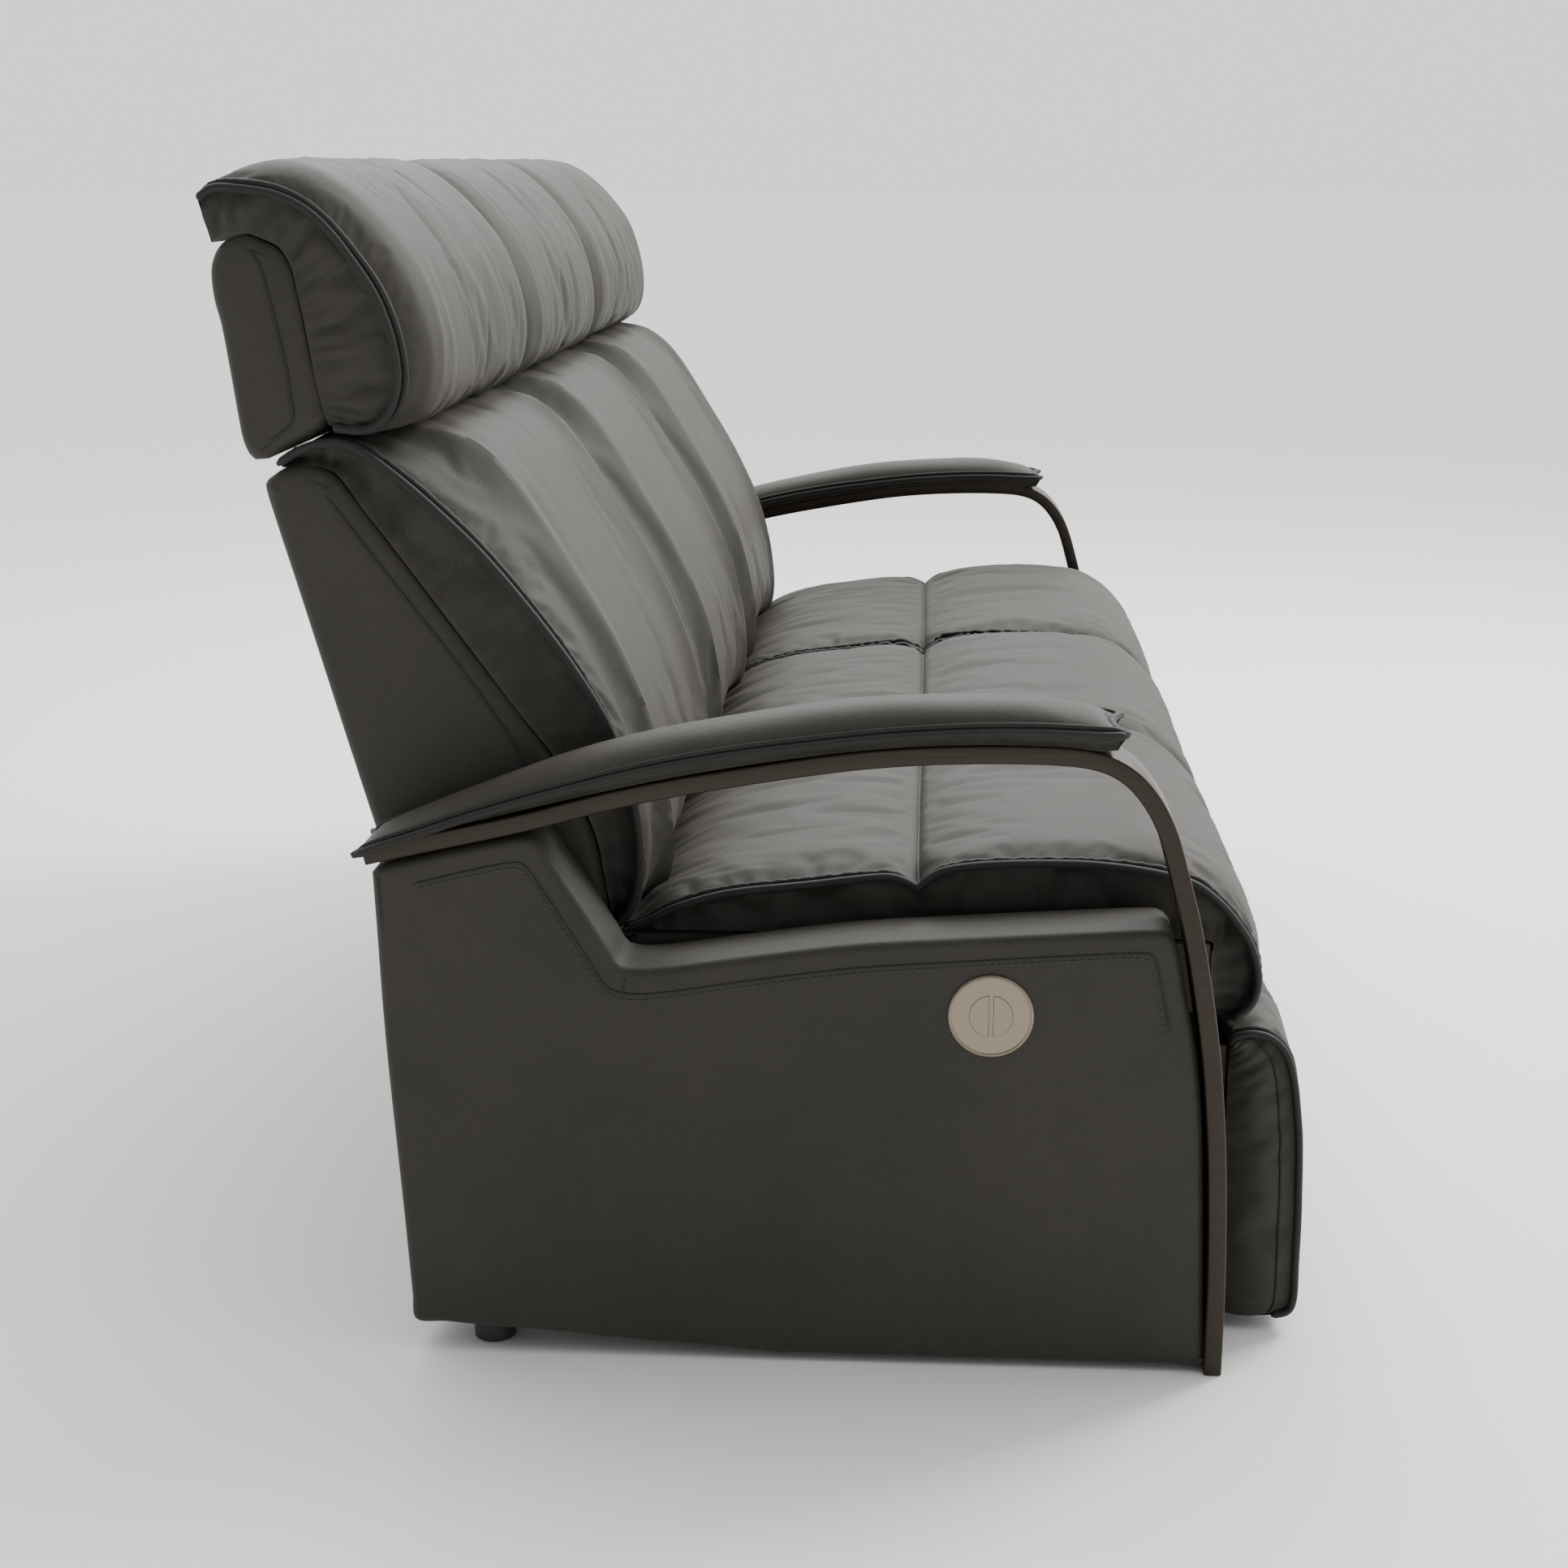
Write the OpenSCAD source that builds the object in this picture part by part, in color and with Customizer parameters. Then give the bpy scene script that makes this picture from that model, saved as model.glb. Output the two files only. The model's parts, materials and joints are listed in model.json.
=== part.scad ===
// Three-seat power reclining sofa. X runs across the sofa, the sitters face -Y, Z is up.
// Outlines are written as [station, height]: a station is a distance back from the arm straps' feet.

/* [Overall] */
// Width of one seat
seat_w = 570; // [500:5:690]
// Height of the seat crown above the floor
seat_h = 490; // [405:5:590]
// Depth from the arm straps' feet to the back hinges
seat_d = 600; // [500:5:720]
// Length of the back from its hinge to its top
back_h = 500; // [415:5:600]
// Height of the arm pads' top above the floor
arm_h = 650; // [600:5:780]
// Clear gap between neighbouring seats
seat_gap = 4; // [2:0.5:8]

/* [Side arms] */
// Clear gap between a side panel and the seat beside it
arm_gap = 13; // [6:1:20]
// Thickness of a side panel
panel_t = 82; // [68:1:100]
// Length of a side panel behind the back hinge
panel_tail = 196; // [170:2:240]
// Height that the rear of a side panel's lower edge stands clear of the floor
panel_kick = 30; // [10:1:40]
// Width of an arm strap
strap_w = 70; // [58:1:84]
// Thickness of an arm strap
strap_t = 17; // [14:0.5:21]
// How far an arm strap stands out past its side panel
strap_proud = 5; // [3:1:12]
// Width of an arm pad
pad_w = 85; // [70:1:102]
// Clear gap between a side panel and the strap bent round it
strap_gap = 1.5; // [1:0.5:4]

/* [Seats] */
// Thickness of a seat cushion at its crown
cushion_t = 90; // [75:1:110]
// Height of a seat box
box_h = 68; // [56:1:82]
// Wall of a seat box
box_wall = 25; // [18:1:30]
// Width of one webbing strap
web_w = 50; // [30:1:60]
// Thickness of the webbing
web_t = 2; // [1:0.5:3]

/* [Backs and headrests] */
// Lean of the backs from upright, in degrees
back_lean = 27; // [22:1:30]
// Radius of a headrest post
post_r = 6; // [5:0.5:8]
// Clearance round a headrest post in its guide
post_fit = 0.05; // [0.03:0.01:0.1]
// Distance of a headrest post from the middle of its seat
post_x = 130; // [90:5:160]

/* [Frame and mechanism] */
// Height of the cross rails
rail_h = 40; // [30:1:48]
// Depth of the cross rails
rail_d = 40; // [30:1:48]
// Wall of the cross rails
rail_wall = 2.5; // [2:0.5:4]
// Height of the mechanism plates between rails and seat boxes
plate_h = 40; // [32:1:48]
// Thickness of the mechanism plates and links
plate_t = 5; // [4:0.5:6]
// Clearance between plates that slide past each other
plate_gap = 1; // [0.5:0.5:2]
// Radius of the hinge pins
pin_r = 5; // [4:0.5:6]
// Running clearance round a hinge pin
pin_fit = 0.05; // [0.03:0.01:0.1]
// Half width of a link
link_r = 12; // [10:1:14]
// Distance of the mechanism plates from the middle of their seat
plate_x = 238; // [200:1:244]
// Radius of the drive rod
rod_r = 8; // [6:1:10]
// Radius of the drive crank
crank_r = 90; // [80:1:96]

/* [Footrests] */
// Thickness of a footrest pad
foot_t = 76; // [66:1:84]
// Height of a footrest's lower edge above the floor
foot_clear = 12; // [8:1:34]
// Height of the knee pin above the floor
knee_h = 75; // [68:1:84]

/* [Controls] */
// Radius of a control plate
dial_r = 39.5; // [34:0.5:46]
// Radius of the button pair in a control plate
button_r = 20; // [16:0.5:24]
// Width of the bar between the two buttons
bar_w = 4; // [3:0.5:6]
// Clearance round a button
button_fit = 0.4; // [0.3:0.1:0.8]
// How far a button stands out past its control plate
button_proud = 0.5; // [0:0.5:1.5]

/* [Hidden] */
$fn = 48;

right = -1;
middle = 0;
left = 1;
leather = [0.25, 0.24, 0.22];
bronze = [0.23, 0.19, 0.15];
satin = [0.65, 0.6, 0.54];
steel = [0.45, 0.45, 0.47];
timber = [0.72, 0.6, 0.42];
plastic = [0.1, 0.1, 0.1];

// Heights of the main layers, from the seat down
deck_z = seat_h - cushion_t;
box_z = deck_z - web_t - box_h;
rail_z = box_z - plate_h;
rail_foot_z = rail_z - rail_h;
bolt_rise = rail_h / 2 + 8;
hinge_z = deck_z - 25;

// Half widths
half_seat = seat_w / 2 - seat_gap / 2;
seats_x = 1.5 * seat_w;
panel_in = seats_x + arm_gap;
panel_out = panel_in + panel_t;
strap_out = panel_out + strap_proud;
pad_in = strap_out - pad_w;

// Stations of the frame
front_rail_s = 230;
rear_rail_s = seat_d - 100;
box_front = 10;
box_rear = seat_d - 35;
apron_t = 18;
apron_s = seat_d + 148;
apron_top = rail_foot_z + rail_h - 5;
apron_foot = 40;

// Footrest linkage
foot_top = box_z - 21;
foot_rear = -12;
board_t = 12;
lift_pin = [70, rail_z - 5];
knee_pin = [60, knee_h];
foot_pin = [22, foot_top - 47];
lift_x = plate_x + plate_t + plate_gap;
reach_x = lift_x + plate_t + plate_gap;
torque_pin = lift_pin + 0.5 * (knee_pin - lift_pin);
torque_r = 12;
crank_pin = lift_pin + crank_r * [sin(46), -cos(46)];
crank_pin_r = 6;
fork_cheek = 5;
fork_half = 16;

// Drive motor
barrel_r = min(20, rail_foot_z - crank_pin[1] - 4);
barrel_s = 200;
gear_s = seat_d - 180;
gear_d = 60;

// Controls
dial_s = 220;
dial_z = seat_h - 133;
dial_t = 3;
cup_depth = 24;
cup_wall = 2;

// The whole depth is centred on Y = 0
head_at = [seat_d, hinge_z] + back_h * [sin(back_lean), cos(back_lean)];
front_s = foot_rear - foot_t;
rear_s = head_at[0] + 127;
mid_s = (front_s + rear_s) / 2;

// Point t of the way from b to c on the smooth curve through a, b, c and d
function curve_point(a, b, c, d, t) =
  0.5 * (2 * b + (c - a) * t + (2 * a - 5 * b + 4 * c - d) * t * t + (3 * b - a - 3 * c + d) * t * t * t);

// Smooth open curve through points p, with n steps between neighbours
function smooth(p, n = 5) = let (last = len(p) - 1) concat(
  [for (i = [0 : last - 1], k = [0 : n - 1])
    curve_point(p[max(i - 1, 0)], p[i], p[i + 1], p[min(i + 2, last)], k / n)],
  [p[last]]);

// Line beside an open line of points p, at distance d to the left of its direction
function beside(p, d) = [for (i = [0 : len(p) - 1])
  let (v = p[min(i + 1, len(p) - 1)] - p[max(i - 1, 0)])
  p[i] + d * [-v[1], v[0]] / norm(v)];

function reversed(p) = [for (i = [len(p) - 1 : -1 : 0]) p[i]];

// Back's own point: along the lean as a share of the back's length, then forward of it
function back_point(share, forward) = [seat_d, hinge_z]
  + share * back_h * [sin(back_lean), cos(back_lean)]
  + forward * [-cos(back_lean), sin(back_lean)];

// Centre line of an arm strap, from its rear end over the top and down to the floor
leg_z = arm_h - 220;
strap_line = smooth([
  [seat_d + 200, arm_h - 149], [seat_d + 125, arm_h - 132], [seat_d + 50, arm_h - 115],
  [seat_d - 100, arm_h - 79], [seat_d - 213, arm_h - 59], [241, arm_h - 46], [160, arm_h - 46],
  [115, arm_h - 53], [80, arm_h - 85], [56, arm_h - 140], [35, leg_z], [15, 0.765 * leg_z],
  [5, 0.465 * leg_z], [2, 0.19 * leg_z], [2, 0]
]);
strap_under = beside(strap_line, strap_t / 2);
strap_over = beside(strap_line, -strap_t / 2);

// Upper outline of an arm pad, from its rear tip to its front tip
pad_over = smooth([
  [seat_d + 207, arm_h - 141], [seat_d + 200, arm_h - 136], [seat_d + 156, arm_h - 119],
  [seat_d + 93, arm_h - 92], [seat_d - 60, arm_h - 43], [seat_d - 210, arm_h - 12],
  [300, arm_h - 2], [241, arm_h], [189, arm_h - 2], [150, arm_h - 9], [123, arm_h - 16],
  [104, arm_h - 27]
], 3);
pad_under = [for (p = strap_over) if (p[0] > 118 && p[1] > arm_h - 160) p];

// Side panel: its front follows the strap, its top steps up beside the backs
panel_top = seat_h - 49;
panel_front = [for (p = beside(strap_line, strap_t / 2 + strap_gap))
  if (p[1] > 6 && p[1] < panel_top - 6 && p[0] < 70) p];
panel_outline = concat(
  panel_front,
  [[11, 6], [421, 6], [seat_d + panel_tail - 25, panel_kick], [seat_d + panel_tail - 5, 354]],
  [[seat_d + panel_tail, arm_h - 149 - strap_t / 2 - strap_gap - 1],
    [seat_d + 58, arm_h - 117 - strap_t / 2 - strap_gap - 1],
    [seat_d + 42, arm_h - 119 - strap_t / 2 - strap_gap - 1]],
  [[seat_d - 27, seat_h - 68], [seat_d - 36, seat_h - 94], [seat_d - 48, seat_h - 94],
    [342, seat_h - 67], [164, seat_h - 54], [61, seat_h - 49]]
);

// Seat cushion: crowned top, rolled down over the front of the seat box
cushion_lip = seat_h - 172;
cushion_outline = concat(
  smooth([
    [seat_d - 28, deck_z + 3], [seat_d - 46, deck_z + 14], [seat_d - 75, deck_z + 35],
    [seat_d - 127, deck_z + 52], [seat_d - 206, deck_z + 66], [seat_d - 307, deck_z + 77],
    [200, seat_h - 2], [109, seat_h], [40, seat_h - 7], [5, seat_h - 29], [-29, seat_h - 69],
    [-42, seat_h - 108], [-38, seat_h - 145], [-16, seat_h - 171]
  ], 3),
  [[box_front - 2, cushion_lip], [box_front - 2, deck_z], [seat_d - 28, deck_z]]
);

// Back block and the cushion in front of it share one line of points
block_front = [back_point(1.043, -1.4), back_point(0.989, 5), back_point(0.391, 55),
  back_point(0.198, 59), back_point(0.04, 27)];
block_outline = concat(
  [[seat_d + 188, hinge_z + 30]],
  smooth([back_point(1.085, -67), back_point(1.095, -44), back_point(1.082, -17), block_front[0]], 3),
  [for (i = [1 : 4]) block_front[i]]
);
back_cushion_outline = concat(
  smooth([
    back_point(0.066, 43), back_point(0.072, 64), back_point(0.099, 80), back_point(0.133, 90),
    back_point(0.183, 98), back_point(0.362, 125), back_point(0.528, 131), back_point(0.689, 130),
    back_point(0.882, 121), back_point(0.984, 105), back_point(1.035, 82), back_point(1.062, 46),
    block_front[0]
  ], 3),
  [block_front[1], block_front[2], block_front[3]]
);

// Headrest block and the pillow draped over its front and top share one line of points
function head_points(p) = [for (q = p) head_at + q];
head_seam = head_points([[111, 225], [88, 237], [64, 230], [49, 221], [38, 195], [25, 111], [14, 63]]);
head_block_outline = concat(
  head_points([[71, 33], [86, 31], [97, 52], [110, 155], [117, 196]]), head_seam);
pillow_outline = concat(
  smooth(head_points([
    [11, 64], [-27, 60], [-62, 65], [-82, 91], [-87, 140], [-73, 196], [-36, 251], [27, 296],
    [58, 304], [94, 297], [121, 277], [127, 258], [119, 236]
  ]), 3),
  head_seam
);

// Headrest posts run parallel to the backs' rear faces
post_lean = 15.4;
post_at = head_at + [45, 24];
post_down = 215;
post_up = 170;

// Footrest outline; the middle seat's fixed front panel has the same one
foot_outline = concat(
  smooth([
    [foot_rear, foot_top - 22], [foot_rear - 10, foot_top - 6], [foot_rear - 24, foot_top],
    [foot_rear - foot_t + 30, foot_top - 5], [foot_rear - foot_t + 14, foot_top - 26],
    [foot_rear - foot_t + 5, foot_top - 68], [foot_rear - foot_t + 1, foot_top - 125],
    [foot_rear - foot_t, foot_top - 190]
  ], 3),
  [[foot_rear - foot_t, foot_clear + 4], [foot_rear - foot_t + 6, foot_clear],
    [foot_rear - 4, foot_clear], [foot_rear, foot_clear + 4]]
);

module in_place() translate([0, -mid_s, 0]) children();

// Outline of [station, height] points, standing between x0 and x1
module slab(outline, x0, x1) translate([x0, 0, 0]) rotate([90, 0, 90]) linear_extrude(x1 - x0)
  polygon(outline);

// Round bar along X at a [station, height] point
module bar_x(at, r, x0, x1) translate([x0, at[0], at[1]]) rotate([0, 90, 0]) cylinder(h = x1 - x0, r = r);

// Box between two corners
module block(low, high) translate(low) cube(high - low);

// Both sides of a seat: children drawn at +X and mirrored to -X
module both_sides() {
  children();
  mirror([1, 0, 0]) children();
}

// Children drawn for a seat at the middle, moved to the seat asked for
module at_seat(seat) translate([seat * seat_w, 0, 0]) children();

// Flat link: round eyes of radius r at two pins, and a narrower bar between them
module link(a, b, r, x0, x1) {
  aside = 0.7 * r * [a[1] - b[1], b[0] - a[0]] / norm(b - a);
  translate([x0, 0, 0]) rotate([90, 0, 90]) linear_extrude(x1 - x0) {
    translate(a) circle(r);
    translate(b) circle(r);
    polygon([a + aside, a - aside, b - aside, b + aside]);
  }
}

module side_panel(side) {
  lift = panel_kick + 2;
  color(leather) in_place() scale([side, 1, 1]) difference() {
    slab(panel_outline, panel_in, panel_out);
    bar_x([dial_s, dial_z], button_r + button_fit + cup_wall, panel_out - cup_depth, panel_out + 1);
    for (s = [60, seat_d + 100]) translate([panel_in + panel_t / 2, s, -1]) cylinder(h = lift + 1, r = 20);
    for (s = [front_rail_s, rear_rail_s], k = [-1, 1])
      bar_x([s + rail_d / 2, rail_z - rail_h / 2 + k * bolt_rise], 4, panel_in - 1, panel_in + 30);
  }
}

module arm_strap(side) color(bronze) in_place() scale([side, 1, 1])
  slab(concat(strap_under, reversed(strap_over)), strap_out - strap_w, strap_out);

module arm_pad(side) color(leather) in_place() scale([side, 1, 1])
  slab(concat(pad_over, reversed(pad_under)), pad_in, strap_out);

// Square tube from panel to panel, with an upright end plate at each end
module cross_rail(s) color(steel) in_place() {
  end_t = 5;
  difference() {
    union() {
      block([-panel_in, s, rail_foot_z], [panel_in, s + rail_d, rail_z]);
      both_sides() difference() {
        block([panel_in - end_t, s, rail_foot_z - 20], [panel_in, s + rail_d, rail_z + 20]);
        for (k = [-1, 1])
          bar_x([s + rail_d / 2, rail_z - rail_h / 2 + k * bolt_rise], 4, panel_in - end_t - 1, panel_in + 1);
      }
    }
    block([-panel_in + end_t, s + rail_wall, rail_foot_z + rail_wall],
      [panel_in - end_t, s + rail_d - rail_wall, rail_z - rail_wall]);
  }
}

module rail_bolts() color(steel) in_place() both_sides()
  for (s = [front_rail_s, rear_rail_s], k = [-1, 1]) {
    at = [s + rail_d / 2, rail_z - rail_h / 2 + k * bolt_rise];
    bar_x(at, 4, panel_in - 5, panel_in + 30);
    bar_x(at, 7, panel_in - 9, panel_in - 5);
  }

socket_w = 40;
socket_h = 26;
socket_z = 150;
module rear_apron() color(leather) in_place() difference() {
  block([-panel_in, apron_s, apron_foot], [panel_in, apron_s + apron_t, apron_top]);
  block([-socket_w / 2, apron_s - 1, socket_z], [socket_w / 2, apron_s + apron_t + 1, socket_z + socket_h]);
}

// Mains box behind the apron, with its inlet showing through the apron's window
module power_supply() color(plastic) in_place() difference() {
  union() {
    block([-90, apron_s - 50, socket_z - 20], [90, apron_s, socket_z + socket_h + 20]);
    block([-socket_w / 2 + 1, apron_s, socket_z + 1],
      [socket_w / 2 - 1, apron_s + apron_t, socket_z + socket_h - 1]);
  }
  block([-socket_w / 2 + 6, apron_s + 2, socket_z + 5],
    [socket_w / 2 - 6, apron_s + apron_t + 1, socket_z + socket_h - 5]);
}

module floor_glides() color(plastic) in_place() both_sides() for (s = [60, seat_d + 100])
  translate([panel_in + panel_t / 2, s, 0]) cylinder(h = panel_kick + 2, r = 20);

module centre_legs() color(plastic) in_place() both_sides() for (s = [front_rail_s, rear_rail_s])
  translate([seat_w / 2, s + rail_d / 2, 0]) cylinder(h = rail_foot_z, r = 15);

// The mechanism plates reach the back of this panel
module middle_front_panel() color(leather) in_place() slab(foot_outline, -half_seat, half_seat);

module seat_webbing() color(plastic) in_place() for (seat = [right, middle, left], k = [-2 : 2])
  at_seat(seat) translate([k * 95 - web_w / 2, box_front, deck_z - web_t])
    cube([web_w, box_rear - box_front, web_t]);

module seat_box(seat) color(timber) in_place() at_seat(seat) difference() {
  block([-half_seat, box_front, box_z], [half_seat, box_rear, deck_z - web_t]);
  block([-half_seat + box_wall, box_front + box_wall, box_z - 1],
    [half_seat - box_wall, box_rear - box_wall, deck_z]);
}

module seat_cushion(seat) color(leather) in_place() at_seat(seat)
  slab(cushion_outline, -half_seat, half_seat);

// Pair of long plates on the rails, with ears for the footrest lift pins and the back hinge pins
module mech_plates(seat) color(steel) in_place() at_seat(seat) both_sides() difference() {
  union() {
    block([plate_x, lift_pin[0] - 10, rail_z], [plate_x + plate_t, seat_d, box_z]);
    bar_x(lift_pin, link_r + 2, plate_x, plate_x + plate_t);
    block([plate_x, lift_pin[0] - link_r - 2, lift_pin[1]], [plate_x + plate_t, 110, box_z]);
    block([plate_x, seat_d - 22, rail_z], [plate_x + plate_t, seat_d + 22, hinge_z]);
    bar_x([seat_d, hinge_z], 22, plate_x, plate_x + plate_t);
  }
  bar_x(lift_pin, pin_r + pin_fit, plate_x - 1, plate_x + plate_t + 1);
  bar_x([seat_d, hinge_z], pin_r + pin_fit, plate_x - 1, plate_x + plate_t + 1);
}

// Middle seat: its back doesn't recline, so each plate runs straight up into the back block
module middle_plates() color(steel) in_place() both_sides() {
  block([plate_x, foot_rear, foot_top - 60], [plate_x + plate_t, box_front + 2, min(box_z, cushion_lip) - 4]);
  block([plate_x, box_front, rail_z], [plate_x + plate_t, seat_d + 60, box_z]);
  block([plate_x, seat_d - 22, rail_z], [plate_x + plate_t, seat_d + 60, hinge_z + 20]);
  block([plate_x, seat_d + 20, rail_z], [plate_x + plate_t, seat_d + 60, hinge_z + 150]);
}

bracket_x = plate_x + plate_t + plate_gap;

// Upright plates that carry a reclining back on its hinge pins
module back_brackets(seat) color(steel) in_place() at_seat(seat) both_sides() {
  bar_x([seat_d, hinge_z], 20, bracket_x, bracket_x + plate_t);
  block([bracket_x, seat_d - 20, hinge_z], [bracket_x + plate_t, seat_d + 60, hinge_z + 40]);
  block([bracket_x, seat_d + 20, hinge_z + 20], [bracket_x + plate_t, seat_d + 60, hinge_z + 150]);
  bar_x([seat_d, hinge_z], pin_r, plate_x - 1, bracket_x + plate_t);
  bar_x([seat_d, hinge_z], pin_r + 3, plate_x - 4, plate_x - plate_gap / 2);
}

module posts(seat, r, down, up) at_seat(seat) both_sides()
  translate([post_x, post_at[0], post_at[1]]) rotate([-post_lean, 0, 0])
    translate([0, 0, -down]) cylinder(h = down + up, r = r);

// Upholstered shell of a back, with slots for its plates and guide holes for the headrest posts
module back_block(seat) color(leather) in_place() difference() {
  at_seat(seat) slab(block_outline, -half_seat, half_seat);
  posts(seat, post_r + post_fit, post_down + 5, 30);
  at_seat(seat) both_sides() {
    x = seat == middle ? plate_x : bracket_x;
    block([x, seat_d - 22, hinge_z - 1], [x + plate_t, seat_d + 60, hinge_z + 40]);
    block([x, seat_d + 20, hinge_z - 1], [x + plate_t, seat_d + 60, hinge_z + 150]);
  }
}

module back_cushion(seat) color(leather) in_place() at_seat(seat)
  slab(back_cushion_outline, -half_seat, half_seat);

module headrest_posts(seat) color(steel) in_place() posts(seat, post_r, post_down, post_up);

module headrest_block(seat) color(leather) in_place() difference() {
  at_seat(seat) slab(head_block_outline, -half_seat, half_seat);
  posts(seat, post_r, 0, post_up);
}

module headrest_pillow(seat) color(leather) in_place() at_seat(seat)
  slab(pillow_outline, -half_seat, half_seat);

// Pair of links hung on the mechanism plates, joined by a torque tube with the drive crank on it
module lift_links(seat) color(steel) in_place() at_seat(seat) {
  both_sides() difference() {
    link(lift_pin, knee_pin, link_r, lift_x, lift_x + plate_t);
    bar_x(knee_pin, pin_r + pin_fit, lift_x - 1, lift_x + plate_t + 1);
  }
  both_sides() {
    bar_x(lift_pin, pin_r, plate_x - 1, lift_x + 1);
    bar_x(lift_pin, pin_r + 3, plate_x - 4, plate_x - plate_gap / 2);
  }
  bar_x(torque_pin, torque_r, -lift_x - 1, lift_x + 1);
  link(torque_pin, crank_pin, link_r, -plate_t / 2, plate_t / 2);
  bar_x(crank_pin, crank_pin_r, -fork_cheek - plate_t, fork_cheek + plate_t);
}

// Pair of links between the knee pins and the footrest's pins
module reach_links(seat) color(steel) in_place() at_seat(seat) both_sides() {
  link(knee_pin, foot_pin, link_r, reach_x, reach_x + plate_t);
  bar_x(knee_pin, pin_r, lift_x - 1, reach_x + 1);
  bar_x(foot_pin, pin_r, lift_x - 1, reach_x + 1);
}

// Plywood board behind a footrest pad, with the two ears that hang on the reach links
module footrest_board(seat) color(timber) in_place() at_seat(seat) {
  block([-half_seat + 15, foot_rear, foot_clear + 16], [half_seat - 15, foot_rear + board_t, foot_top - 18]);
  both_sides() difference() {
    union() {
      bar_x(foot_pin, link_r, lift_x, lift_x + plate_t);
      block([lift_x, foot_rear + board_t - 1, foot_pin[1] - link_r],
        [lift_x + plate_t, foot_pin[0], foot_pin[1] + link_r]);
    }
    bar_x(foot_pin, pin_r + pin_fit, lift_x - 1, lift_x + plate_t + 1);
  }
}

module footrest_pad(seat) color(leather) in_place() at_seat(seat)
  slab(foot_outline, -half_seat, half_seat);

// Round bar along Y at a height
module bar_y(z, r, s0, s1) translate([0, s1, z]) rotate([90, 0, 0]) cylinder(h = s1 - s0, r = r);

// Linear drive: barrel, gear case, upright motor can and the tab bolted under the rear rail
module motor(seat) color(plastic) in_place() at_seat(seat) difference() {
  union() {
    bar_y(crank_pin[1], barrel_r, barrel_s, gear_s + 1);
    block([-30, gear_s, crank_pin[1] - 27], [30, gear_s + gear_d, crank_pin[1] + 23]);
    translate([0, gear_s + gear_d / 2, crank_pin[1] - 110]) cylinder(h = 90, r = 25);
    block([-15, gear_s + gear_d - 1, crank_pin[1] - 10],
      [15, rear_rail_s + rail_d - 5, rail_foot_z]);
  }
  bar_y(crank_pin[1], rod_r + pin_fit, barrel_s - 1, gear_s - 10);
}

// Rod of the linear drive; the crank pin rides in the upright slots of its fork
module drive_fork(seat) color(steel) in_place() at_seat(seat) {
  fork_rear = crank_pin[0] + fork_half;
  both_sides() difference() {
    block([fork_cheek, crank_pin[0] - fork_half, crank_pin[1] - 44],
      [fork_cheek + plate_t, fork_rear + 1, crank_pin[1] + 16]);
    block([fork_cheek - 1, crank_pin[0] - crank_pin_r - 4, crank_pin[1] - 36],
      [fork_cheek + plate_t + 1, crank_pin[0] + crank_pin_r + 4, crank_pin[1] + 8]);
  }
  block([-fork_cheek - plate_t, fork_rear, crank_pin[1] - 10],
    [fork_cheek + plate_t, fork_rear + 12, crank_pin[1] + 10]);
  bar_y(crank_pin[1], rod_r, fork_rear + 10, fork_rear + 250);
}

// Round plate with a cup behind it and a bar across it that parts the two buttons
module control_plate(side) color(satin) in_place() scale([side, 1, 1]) {
  at = [dial_s, dial_z];
  hole_r = button_r + button_fit;
  difference() {
    union() {
      bar_x(at, dial_r, panel_out, panel_out + dial_t);
      bar_x(at, hole_r + cup_wall, panel_out - cup_depth, panel_out + 1);
    }
    bar_x(at, hole_r, panel_out - cup_depth + cup_wall, panel_out + dial_t + 1);
  }
  block([panel_out - cup_depth + 1, dial_s - bar_w / 2, dial_z - hole_r - 1],
    [panel_out + dial_t, dial_s + bar_w / 2, dial_z + hole_r + 1]);
}

// Half-moon button on one side of the bar: way is -1 for the front one, 1 for the rear one
module button(side, way) color(satin) in_place() scale([side, 1, 1]) intersection() {
  bar_x([dial_s, dial_z], button_r, panel_out - 8, panel_out + dial_t + button_proud);
  near = dial_s + way * (bar_w / 2 + button_fit);
  far = dial_s + way * 2 * button_r;
  block([panel_out - 9, min(near, far), dial_z - 2 * button_r],
    [panel_out + dial_t + 2, max(near, far), dial_z + 2 * button_r]);
}

side_panel(right);  // side_panel_right
side_panel(left);  // side_panel_left
arm_strap(right);  // arm_strap_right
arm_strap(left);  // arm_strap_left
arm_pad(right);  // arm_pad_right
arm_pad(left);  // arm_pad_left
cross_rail(front_rail_s);  // front_rail
cross_rail(rear_rail_s);  // rear_rail
rail_bolts();
rear_apron();
floor_glides();
centre_legs();
power_supply();
middle_front_panel();
seat_webbing();
seat_box(right);  // seat_box_right
seat_box(middle);  // seat_box_middle
seat_box(left);  // seat_box_left
seat_cushion(right);  // seat_cushion_right
seat_cushion(middle);  // seat_cushion_middle
seat_cushion(left);  // seat_cushion_left
mech_plates(right);  // mech_plates_right
middle_plates();  // mech_plates_middle
mech_plates(left);  // mech_plates_left
back_brackets(right);  // back_brackets_right
back_brackets(left);  // back_brackets_left
back_block(right);  // back_block_right
back_block(middle);  // back_block_middle
back_block(left);  // back_block_left
back_cushion(right);  // back_cushion_right
back_cushion(middle);  // back_cushion_middle
back_cushion(left);  // back_cushion_left
headrest_posts(right);  // headrest_posts_right
headrest_posts(middle);  // headrest_posts_middle
headrest_posts(left);  // headrest_posts_left
headrest_block(right);  // headrest_block_right
headrest_block(middle);  // headrest_block_middle
headrest_block(left);  // headrest_block_left
headrest_pillow(right);  // headrest_pillow_right
headrest_pillow(middle);  // headrest_pillow_middle
headrest_pillow(left);  // headrest_pillow_left
lift_links(right);  // lift_links_right
lift_links(left);  // lift_links_left
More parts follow.
